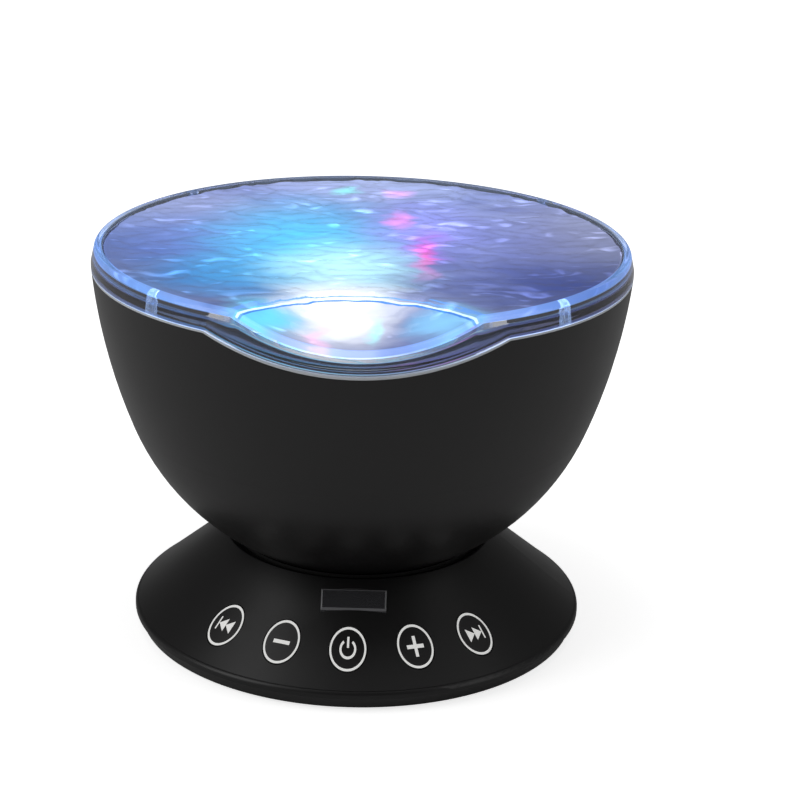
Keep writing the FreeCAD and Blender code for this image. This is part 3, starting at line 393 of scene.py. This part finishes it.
def ripple_share(x, y, radius):
    """How much of the ripples shows: none in the border, and little beside the scoop's line."""
    front, meet, _ = TOP_SCOOP
    from_line = abs(math.hypot(x, y + front) - meet - LINE_OFFSET)
    return clamp((BORDER - radius) / FADE) * clamp((from_line - CALM_FROM) / CALM_OVER, CALM_LEAST)


print("ripples up to", RIPPLE_HEIGHT, "mm deep")

# %% [markdown]
# The cover is a grid of closed rows, like a turned piece whose rows may rise and fall. A row is a function
# of the turn angle that gives one point.

# %% Rows and the grid between them
RIM_PULL = 0.23


def lathe(name, rows, columns, material, body):
    """A closed grid from rows. Each row gives one point for each angle."""
    points = [row(2 * math.pi * step / columns) for row in rows for step in range(columns)]
    faces = []
    for index in range(len(rows) - 1):
        for step in range(columns):
            after = (step + 1) % columns
            a = index * columns
            b = a + columns
            faces.append((a + step, b + step, b + after, a + after))
    faces.append(tuple(range(columns)))
    last = (len(rows) - 1) * columns
    faces.append(tuple(reversed(range(last, last + columns))))
    return add_mesh(name, points, faces, material, body)


def level_row(radius, height, share=1.0, pull=RIM_PULL):
    """A row of the skirt: a circle that follows the rim, or partly the top, pulled in where it drops."""
    def row(angle):
        x, y = radius * math.cos(angle), radius * math.sin(angle)
        drop = rim_dip(x, y) * share + top_dip(x, y) * (1 - share)
        inner = radius - drop * pull
        return (inner * math.cos(angle), inner * math.sin(angle), height - drop)
    return row


def top_row(radius, sink=0.0, waves=1.0):
    """A row of the rippled top, or with a sink and no waves, of the underside."""
    def row(angle):
        x, y = radius * math.cos(angle), radius * math.sin(angle)
        depth = RIPPLE_HEIGHT * ripple(x, y) * ripple_share(x, y, radius) * waves
        return (x, y, TOP - sink - top_dip(x, y) - depth)
    return row


print("rim row starts at", [round(c, 2) for c in level_row(RIM_RADIUS, RIM)(0.0)])

# %% [markdown]
# ## The glow under the cover
# In the real lamp, coloured diodes shine through the turning disc and paint moving patches on the
# underside of the cover. That underside glows here by itself: its colour is mixed from soft patches,
# placed where the object is brightest, and broken by streaks of the water pattern.

# %% The colours of the glow
# Each soft patch: colour, place across and along in mm, reach in mm, stretch along, and share of the colour.
# The pale grey-blue patches at the back and at the right are partly glow and partly a painted reflection on
# the ripples.
PATCHES = [
    ("#84869c", 60, 14, 44, 1.3, 0.8), ("#8d94b4", -56, 30, 40, 1.0, 0.7),
    ("#5f7cc4", -46, -4, 50, 1.0, 0.75), ("#7078b8", 36, 0, 42, 1.3, 0.6),
    ("#3c4a90", 52, -34, 36, 1.0, 0.85), ("#9aa4c6", 0, 66, 50, 0.8, 0.7),
    ("#3f8fd0", -36, -32, 34, 0.9, 0.85), ("#4fb6e2", -18, 0, 38, 1.7, 0.95),
    ("#8f92e0", 16, 16, 24, 1.7, 0.8), ("#a465da", 17, -4, 9, 3.4, 0.6),
    ("#e84fae", 17, -12, 5, 5.0, 0.75), ("#f58ce0", 9, 26, 5, 3.0, 0.6),
    ("#e6a0ea", 9, 54, 6, 1.2, 0.6), ("#7af0dc", -6, 57, 6, 1.2, 0.5),
    ("#b4e4ee", -5, -24, 30, 1.2, 1.0), ("#ffffff", -5, -52, 24, 1.0, 1.0),
    ("#6cdcfa", -24, -60, 13, 1.0, 0.9), ("#8ccdf6", 22, -60, 13, 1.0, 0.9),
    ("#fac4e4", -9, -64, 4, 2.0, 0.8), ("#a8f4f4", 4, -60, 3, 2.4, 0.7),
]
# Bright and dark lines along the edge of the scoop: colour, middle along, radius and half width in mm.
LINES = [
    ("#4a86dc", -84.2, 36.2, 0.35), ("#e0fbff", -84.2, 37.2, 0.5), ("#6ea2e8", -83.2, 38.2, 0.35),
]
print("soft patches:", len(PATCHES), "and lines:", len(LINES))

# %% [markdown]
# Water moves the light about, so each patch has a torn outline: its place is shifted by a noise that is
# longer across than along. The noise is never negative, so half of the full shift is taken off again.

# %% Torn places, soft patches and thin lines
TEAR_MM = 7.692
TEAR = (0.016, 0.010, 0.0)
HALF_TEAR = (0.008, 0.005, 0.0)


def torn(tree, place):
    """A place shifted by noise, so that what is drawn there has a ragged outline."""
    wide = add_node(tree, "ShaderNodeMapping", {}, {"Vector": place, "Scale": (0.45, 1.0, 0.0)})
    ragged = add_node(tree, "ShaderNodeTexNoise", {}, {
        "Vector": wide.outputs["Vector"], "Scale": per_mm(TEAR_MM), "Detail": 3.0})
    shifted = add_node(tree, "ShaderNodeVectorMath", {"operation": "MULTIPLY_ADD"}, {
        0: ragged.outputs["Color"], 1: TEAR, 2: place})
    centred = add_node(tree, "ShaderNodeVectorMath", {"operation": "SUBTRACT"}, {
        0: shifted.outputs["Vector"], 1: HALF_TEAR})
    return centred.outputs["Vector"]


def patch(tree, place, x, y, reach, stretch=1.0, share=1.0):
    """A share at a plan position in millimetres, falling to 0 at its reach."""
    moved = add_node(tree, "ShaderNodeMapping", {}, {
        "Vector": place, "Location": (-x * MM, -y * MM / stretch, 0), "Scale": (1, 1 / stretch, 0)})
    length = add_node(tree, "ShaderNodeVectorMath", {"operation": "LENGTH"}, {0: moved.outputs["Vector"]})
    fall = add_node(tree, "ShaderNodeMapRange", {"interpolation_type": "SMOOTHSTEP"}, {
        "Value": length.outputs["Value"], "From Min": 0.0, "From Max": reach * MM,
        "To Min": share, "To Max": 0.0})
    return fall.outputs["Result"]


def line(tree, place, centre_y, radius, half_width):
    """1 on a thin ring about a point of the middle line, else 0."""
    moved = add_node(tree, "ShaderNodeMapping", {}, {
        "Vector": place, "Location": (0, -centre_y * MM, 0), "Scale": (1, 1, 0)})
    length = add_node(tree, "ShaderNodeVectorMath", {"operation": "LENGTH"}, {0: moved.outputs["Vector"]})
    ring = add_node(tree, "ShaderNodeMath", {"operation": "COMPARE"}, {
        0: length.outputs["Value"], 1: radius * MM, 2: half_width * MM})
    return ring.outputs["Value"]


print("outlines torn by up to", 1000 * HALF_TEAR[0], "mm across")

# %% [markdown]
# A slow noise gives the colour under the patches. Ridged noise adds bright streaks, as water gathers
# light. The light grows towards the back, where the growth is partly a painted reflection on the
# ripples, and again around the middle of the front.

# %% The glowing underside
SWIRL_MM = 10.526
STREAK_MM = 6.061
EVEN_POWER = 1.75
FRONT_POWER = 1.5


def glow_material():
    """Acrylic whose matt underside shows the light thrown on it, with a painted reflection towards the back.
    """
    material, tree, output = new_material("Acrylic, matt underside lit from below, with painted sheen")
    place = add_node(tree, "ShaderNodeTexCoord").outputs["Object"]
    ragged_place = torn(tree, place)
    streaks = add_node(tree, "ShaderNodeMapping", {}, {"Vector": place, "Scale": (0.5, 1.0, 0.0)})
    swirl = add_node(tree, "ShaderNodeTexNoise", {}, {
        "Vector": streaks.outputs["Vector"], "Scale": per_mm(SWIRL_MM), "Detail": 3.0, "Distortion": 0.8})
    water = add_node(tree, "ShaderNodeTexNoise", {"noise_type": "RIDGED_MULTIFRACTAL"}, {
        "Vector": streaks.outputs["Vector"], "Scale": per_mm(STREAK_MM), "Detail": 1.0, "Distortion": 1.1})
    start = add_node(tree, "ShaderNodeMix", {"data_type": "RGBA"}, {
        "Factor": swirl.outputs["Fac"], "A": linear("#303c78"), "B": linear("#8f99c4")})
    colour = start.outputs["Result"]
    layers = [(tint, patch(tree, ragged_place, *shape)) for tint, *shape in PATCHES]
    layers += [(tint, line(tree, place, *shape)) for tint, *shape in LINES]
    for tint, share in layers:
        mixed = add_node(tree, "ShaderNodeMix", {"data_type": "RGBA"}, {
            "Factor": share, "A": colour, "B": linear(tint)})
        colour = mixed.outputs["Result"]
    power = add_node(tree, "ShaderNodeMath", {"operation": "MULTIPLY_ADD"}, {
        0: patch(tree, ragged_place, -4, -40, 80), 1: FRONT_POWER, 2: EVEN_POWER})
    crest = add_node(tree, "ShaderNodeMapRange", {}, {
        "Value": water.outputs["Fac"], "From Min": 0.15, "From Max": 1.0,
        "To Min": 0.5, "To Max": 1.7})
    along = add_node(tree, "ShaderNodeSeparateXYZ", {}, {"Vector": place})
    # Painted reflection: the brighter back stands partly for the light that the ripples mirror there.
    rise = add_node(tree, "ShaderNodeMapRange", {"interpolation_type": "SMOOTHSTEP"}, {
        "Value": along.outputs["Y"], "From Min": -45 * MM, "From Max": 60 * MM,
        "To Min": 0.95, "To Max": 2.4})
    lifted = add_node(tree, "ShaderNodeMath", {"operation": "MULTIPLY"}, {
        0: power.outputs["Value"], 1: rise.outputs["Result"]})
    total = add_node(tree, "ShaderNodeMath", {"operation": "MULTIPLY"}, {
        0: lifted.outputs["Value"], 1: crest.outputs["Result"]})
    glow = add_node(tree, "ShaderNodeEmission", {}, {"Color": colour, "Strength": total.outputs["Value"]})
    matt = add_node(tree, "ShaderNodeBsdfDiffuse", {}, {"Color": linear("#3a4258")})
    both = add_node(tree, "ShaderNodeAddShader")
    tree.links.new(glow.outputs["Emission"], both.inputs[0])
    tree.links.new(matt.outputs["BSDF"], both.inputs[1])
    tree.links.new(both.outputs["Shader"], output.inputs["Surface"])
    return material


glow = glow_material()
print("glow nodes:", len(glow.node_tree.nodes))

# %% [markdown]
# ## The rippled cover
# The mesh runs from the middle of the top, out over the edge, down the skirt and back along the underside,
# so it is one closed wall. The underside is the part that glows, and the rounded edge pipes some light out.

# %% Rows of the cover
COLUMNS = 560
FIRST_RADIUS = 0.8
RING_STEP = 0.75
LIP_RADIUS = 71.0
EDGE_STEPS = 6
LEAST_PULL = 0.02
MORE_PULL = 0.08
BAND = 1.2
FOOT_LIFT = 0.02
FOOT_CHAMFER = 0.2
CHAMFER_TOP = 0.25
GLOW_DEPTH = 3.4
GLOW_RADIUS = 69.6
GLOW_STEP = 1.5
outer_flat = RIM_RADIUS - LEAN - EDGE
rows = []
radius = FIRST_RADIUS
while radius < outer_flat:
    rows.append(top_row(radius))
    radius += RING_STEP
first_edge_row = int((LIP_RADIUS - FIRST_RADIUS) / RING_STEP)
for step in range(EDGE_STEPS + 1):
    turn = math.radians(90 - 90 * step / EDGE_STEPS)
    share_out = math.cos(turn)
    height = TOP - EDGE + EDGE * math.sin(turn)
    rows.append(level_row(outer_flat + EDGE * share_out, height, 0.0, LEAST_PULL + MORE_PULL * share_out))
last_edge_row = len(rows) - 1
rows += [
    level_row(RIM_RADIUS, RIM + BAND),
    level_row(RIM_RADIUS, RIM + CHAMFER_TOP),
    level_row(RIM_RADIUS - FOOT_CHAMFER, RIM + FOOT_LIFT),
    level_row(RIM_RADIUS - WALL, RIM + FOOT_LIFT),
    level_row(RIM_RADIUS - WALL, RIM + BAND),
    level_row(RIM_RADIUS - LEAN - WALL, TOP - WALL, 0.0, LEAST_PULL + MORE_PULL),
]
first_glow_row = len(rows) - 1
radius = GLOW_RADIUS
while radius > 1:
    rows.append(top_row(radius, GLOW_DEPTH, 0.0))
    radius -= GLOW_STEP
print("rows:", len(rows))

# %% [markdown]
# Each band of rows takes its own finish: the lit edge, the grey skirt, its bright foot and the glow.

# %% The cover's mesh and its bands
cover = lathe("rippled_cover", rows, COLUMNS, clear_acrylic, "lamp_head")
for band_material in (rim_acrylic, glow, skirt_acrylic, foot_acrylic):
    cover.data.materials.append(band_material)
RIM_SLOT, GLOW_SLOT, SKIRT_SLOT, FOOT_SLOT = 1, 2, 3, 4
BANDS = [
    (first_edge_row, last_edge_row, RIM_SLOT), (last_edge_row, last_edge_row + 2, SKIRT_SLOT),
    (last_edge_row + 2, last_edge_row + 4, FOOT_SLOT), (first_glow_row + 1, len(rows) - 1, GLOW_SLOT),
]
for first, last, index in BANDS:
    for number in range(first * COLUMNS, last * COLUMNS):
        cover.data.polygons[number].material_index = index
cover.data.polygons[-1].material_index = GLOW_SLOT
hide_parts("cover")
print("cover:", len(cover.data.polygons), "faces")

# %% [markdown]
# ## Snap tabs
# Four small snap tabs stand within the skirt. Each is one short block. Its outline is a list of corners:
# radius, height, and how much the block is narrowed there at each side.

# %% Snap tabs
TAB_ANGLES = (-136, -44, 44, 136)
TAB_WIDTH = 2.2
TAB_OUTLINE = [
    (70.2, 104.6, 0), (72.9, 104.6, 0), (72.5, 109.2, 0),
    (71.6, 110.3, 0.3), (70.6, 110.3, 0.3), (70.2, 109.6, 0),
]
corners = 2 * len(TAB_OUTLINE)
tab_faces = [tuple(range(0, corners, 2)), tuple(reversed(range(1, corners, 2)))]
tab_faces += [(i, i + 1, (i + 3) % corners, (i + 2) % corners) for i in range(0, corners, 2)]
for number, tab_angle in enumerate(TAB_ANGLES, start=1):
    turn = math.radians(tab_angle)
    points = []
    for radius, z, trim in TAB_OUTLINE:
        for side in (-1, 1):
            off = side * (TAB_WIDTH / 2 - trim)
            x = radius * math.cos(turn) - off * math.sin(turn)
            y = radius * math.sin(turn) + off * math.cos(turn)
            points.append((x, y, z))
    name = "snap_tab_" + str(number)
    add_mesh(name, points, tab_faces, tab_acrylic, "lamp_head", smooth=False)
print("added", len(TAB_ANGLES), "tabs")

# %% [markdown]
# ## Printed key marks
# The marks are silk-screened: a thin raised ink film, printed on the sloping cap. Each is drawn flat, in
# the key's own plan, with up towards the middle of the base, and then laid on the slope. The ink is
# given a faint painted glow, painted light that makes it read as white in the soft light.

# %% Ink and where the keys are
ink = moulded_plastic("White silk-screen ink, painted glow", "#f0f0ee", 0.6, 0.01)
painted_glow_ink_skin = ink.node_tree.nodes["Principled BSDF"]
# Painted glow: this emission stands in for the light that falls on the white ink.
painted_glow_ink_skin.inputs["Emission Color"].default_value = linear("#f4f4f2")
painted_glow_ink_skin.inputs["Emission Strength"].default_value = 0.42
FLANK_FOOT = (62.4, 6.2)
COLLAR = (37.6, 26.8)
INK_LIFT = 0.05
KEY_CIRCLE = 53.3
KEY_MIDDLE = -91.16
KEY_SPACING = 19.46


def flank(radius):
    """Height of the base's slope at a radius."""
    share = (radius - COLLAR[0]) / (FLANK_FOOT[0] - COLLAR[0])
    return COLLAR[1] + (FLANK_FOOT[1] - COLLAR[1]) * share


print("slope under the keys:", round(flank(KEY_CIRCLE), 2), "mm high")

# %% [markdown]
# A mark is a list of flat shapes with straight sides. The signs are the plain ones for back, less, power,
# more and forward.

# %% The shapes of the marks
RING_RADIUS = 4.62
RING_LINE = 0.5
ARM = 2.3
HALF_LINE = 0.42


def bar(x0, x1, y0, y1):
    """A rectangle between two sides and two ends."""
    return [(x0, y0), (x1, y0), (x1, y1), (x0, y1)]


def ring_strip(radius, width, start=0.0, end=360.0, steps=72):
    """Quads of a ring or an arc of one."""
    quads = []
    for step in range(steps):
        a = math.radians(start + (end - start) * step / steps)
        b = math.radians(start + (end - start) * (step + 1) / steps)
        quads.append([
            ((radius + side) * math.cos(angle), (radius + side) * math.sin(angle))
            for side, angle in ((-width / 2, a), (width / 2, a), (width / 2, b), (-width / 2, b))])
    return quads


def skip_mark(way):
    """Two triangles and a bar. way is -1 for back and 1 for forward."""
    shapes = [bar(*sorted((way * 2.35, way * 2.75)), -1.5, 1.5)]
    for foot in (-ARM, 0.0):
        shapes.append([(way * foot, -1.5), (way * (foot + ARM), 0.0), (way * foot, 1.5)])
    return shapes


plus_mark = [
    bar(-ARM, ARM, -HALF_LINE, HALF_LINE), bar(-HALF_LINE, HALF_LINE, HALF_LINE, ARM),
    bar(-HALF_LINE, HALF_LINE, -ARM, -HALF_LINE)]
minus_mark = [bar(-ARM, ARM, -0.4, 0.4)]
power_mark = ring_strip(1.95, 0.55, 125, 415, 40) + [bar(-0.28, 0.28, 0.3, 2.7)]
MARKS = {
    "key_previous": skip_mark(-1), "key_volume_down": minus_mark, "key_power": power_mark,
    "key_volume_up": plus_mark, "key_next": skip_mark(1),
}
print("marks drawn:", len(MARKS))

# %% [markdown]
# To print a mark, each corner of a flat shape moves to its place on the slope, and a copy a little lower
# closes the film of ink. The ink rides on its own key.

# %% Printing the marks


def print_mark(key, place, shapes):
    """Lays flat shapes on the sloping cap of a key as a thin solid of ink."""
    turn = math.radians(KEY_MIDDLE + KEY_SPACING * place)
    centre = (KEY_CIRCLE * math.cos(turn), KEY_CIRCLE * math.sin(turn))
    inward = (-math.cos(turn), -math.sin(turn))
    along = (inward[1], -inward[0])
    points, faces = [], []
    for shape in shapes:
        count = len(shape)
        first = len(points)
        flat = []
        for u, v in shape:
            x = centre[0] + u * along[0] + v * inward[0]
            y = centre[1] + u * along[1] + v * inward[1]
            flat.append((x, y, flank(math.hypot(x, y))))
        area = sum(a[0] * b[1] - b[0] * a[1] for a, b in zip(flat, flat[1:] + flat[:1]))
        if area < 0:
            flat.reverse()
        points += [(x, y, z + INK_LIFT) for x, y, z in flat] + [(x, y, z - INK_LIFT) for x, y, z in flat]
        faces.append(tuple(range(first, first + count)))
        faces.append(tuple(reversed(range(first + count, first + 2 * count))))
        for i in range(count):
            j = (i + 1) % count
            faces.append((first + j, first + i, first + count + i, first + count + j))
    return add_mesh("mark_" + key, points, faces, ink, key, smooth=False)


for place, (key, shapes) in zip((-2, -1, 0, 1, 2), MARKS.items()):
    print_mark(key, place, shapes + ring_strip(RING_RADIUS, RING_LINE))
print("printed", len(MARKS), "marks")

# %% [markdown]
# ## The window in the base
# The window is a smoked acrylic block that follows the slope. Its ground bevel is paler than the pane and
# shows first, so it is real geometry with its own finish.

# %% Receiver window
WINDOW_HALF = 8.75
WINDOW_BACK = 39.8
WINDOW_FRONT = 44.5
BEVEL = 0.4
BEVEL_DEPTH = 0.25
WINDOW_DEPTH = 3.0


def window_ring(inset, lift):
    """Four corners of the block, drawn in from its sides and raised from the slope."""
    ring = []
    for x, y in ((-1, -1), (1, -1), (1, 1), (-1, 1)):
        px = x * (WINDOW_HALF - inset)
        py = -(WINDOW_FRONT - inset) if y < 0 else -(WINDOW_BACK + inset)
        ring.append((px, py, flank(abs(py)) + lift))
    return ring


window_points = window_ring(0, -WINDOW_DEPTH) + window_ring(0, -BEVEL_DEPTH) + window_ring(BEVEL, 0.0)
window_faces = [(3, 2, 1, 0), (8, 9, 10, 11)]
for level in (0, 4):
    for i in range(4):
        j = (i + 1) % 4
        window_faces.append((level + i, level + j, level + 4 + j, level + 4 + i))
window = add_mesh(
    "window_pane", window_points, window_faces, smoked_acrylic, "base", smooth=False)
window.data.materials.append(window_edge)
for polygon in window.data.polygons[-4:]:
    polygon.material_index = 1
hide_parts("receiver_window")
print("window:", 2 * WINDOW_HALF, "by", round(WINDOW_FRONT - WINDOW_BACK, 2), "mm")

# %% [markdown]
# ## Floor
# The floor is a sheet of white paper that runs out of view. The camera sees it as plain white a hand's
# width away from the object, and closer in the object's shadow stays visible. Only the camera sees that
# lift, so the black shell mirrors a quiet floor.

# %% Floor
FIBRE_MM = 3.3333
REACH = 6.0
floor_mesh = bpy.data.meshes.new("floor")
floor_corners = [(-REACH, -REACH, 0), (REACH, -REACH, 0), (REACH, REACH, 0), (-REACH, REACH, 0)]
floor_mesh.from_pydata(floor_corners, [], [(0, 1, 2, 3)])
floor = bpy.data.objects.new("floor", floor_mesh)
scene.collection.objects.link(floor)
paper, tree, output = new_material("White paper sweep")
seen = add_node(tree, "ShaderNodeLightPath")
fibre = add_node(tree, "ShaderNodeTexNoise", {}, {"Scale": per_mm(FIBRE_MM)})
tone = add_node(tree, "ShaderNodeMapRange", {}, {
    "Value": fibre.outputs["Fac"], "To Min": 0.86, "To Max": 0.88})
sheet_colour = add_node(tree, "ShaderNodeCombineColor", {}, {
    "Red": tone.outputs["Result"], "Green": tone.outputs["Result"], "Blue": tone.outputs["Result"]})
matte = add_node(tree, "ShaderNodeBsdfDiffuse", {}, {"Color": sheet_colour.outputs["Color"]})
lift = add_node(tree, "ShaderNodeEmission", {}, {"Color": (1, 1, 1, 1)})
ground = add_node(tree, "ShaderNodeTexCoord").outputs["Object"]
away = add_node(tree, "ShaderNodeVectorMath", {"operation": "LENGTH"}, {0: ground})
fill = add_node(tree, "ShaderNodeMapRange", {"interpolation_type": "SMOOTHSTEP"}, {
    "Value": away.outputs["Value"], "From Min": 0.06, "From Max": 0.17, "To Min": 0.76, "To Max": 1.0})
weak = add_node(tree, "ShaderNodeMath", {"operation": "MULTIPLY"}, {
    0: seen.outputs["Is Camera Ray"], 1: fill.outputs["Result"]})
tree.links.new(weak.outputs["Value"], lift.inputs["Strength"])
both = add_node(tree, "ShaderNodeAddShader")
tree.links.new(matte.outputs["BSDF"], both.inputs[0])
tree.links.new(lift.outputs["Emission"], both.inputs[1])
tree.links.new(both.outputs["Shader"], output.inputs["Surface"])
floor_mesh.materials.append(paper)
print("floor:", 2 * REACH, "m across")

# %% [markdown]
# ## World
# Whatever looks past the floor sees white. Every other ray meets a dim even sky, so the shell stays black.

# %% World
SKY_LIGHT = 0.11
world = bpy.data.worlds.new("studio")
scene.world = world
world.use_nodes = True
tree = world.node_tree
tree.nodes.clear()
sky_out = add_node(tree, "ShaderNodeOutputWorld")
seen = add_node(tree, "ShaderNodeLightPath")
strength = add_node(tree, "ShaderNodeMapRange", {}, {
    "Value": seen.outputs["Is Camera Ray"], "To Min": SKY_LIGHT, "To Max": 1.0})
sky = add_node(tree, "ShaderNodeBackground", {}, {
    "Color": (1, 1, 1, 1), "Strength": strength.outputs["Result"]})
tree.links.new(sky.outputs["Background"], sky_out.inputs["Surface"])
print("sky light:", SKY_LIGHT)

# %% [markdown]
# ## Lamps
# Two big soft boxes and one overhead give the bowl its broad, quiet highlights. The left one is stronger,
# which brightens the bowl's left side. Each row gives place, aim, width and height in metres, and watts.

# %% Lamps
LAMPS = {
    "softbox_left": ((-0.75, -0.35, 0.55), (0.0, 0.0, 0.06), 0.5, 0.9, 2.6),
    "softbox_right": ((0.85, -0.30, 0.50), (0.0, 0.0, 0.06), 0.45, 0.8, 1.2),
    "overhead": ((0.0, 0.10, 1.10), (0.0, 0.0, 0.05), 0.9, 0.9, 2.0),
}
for name, (place, aim, width, height, watts) in LAMPS.items():
    light = bpy.data.lights.new(name, "AREA")
    light.shape = "RECTANGLE"
    light.size = width
    light.size_y = height
    light.energy = watts
    lamp = bpy.data.objects.new(name, light)
    lamp.location = place
    lamp.rotation_euler = (Vector(aim) - Vector(place)).to_track_quat("-Z", "Y").to_euler()
    scene.collection.objects.link(lamp)
print("lamps:", len(LAMPS))

# %% [markdown]
# ## Camera
# The camera stands where the photographer's did. Its height, distance and slight roll come from the
# ellipses that the rim, base and keys draw in a picture of 800 by 800 pixels. The height was then raised
# by 1.1 mm.

# %% Camera
PLACE = Vector((0.0110, -0.5653, 0.2706))
TILT = math.radians(69.98)
ROLL = math.radians(1.46)
FOCAL_PIXELS = 2158.0
PICTURE_PIXELS = 800
SENSOR_MM = 36.0
turn = Matrix.Rotation(TILT, 4, "X") @ Matrix.Rotation(ROLL, 4, "Z")
camera_data = bpy.data.cameras.new("camera")
camera_data.sensor_width = SENSOR_MM
camera_data.lens = FOCAL_PIXELS / PICTURE_PIXELS * SENSOR_MM
camera_data.clip_end = 50
camera = bpy.data.objects.new("camera", camera_data)
camera.matrix_world = Matrix.Translation(PLACE) @ turn
scene.collection.objects.link(camera)
scene.camera = camera
scene.view_settings.view_transform = "Standard"
print("lens:", round(camera_data.lens, 1), "mm")
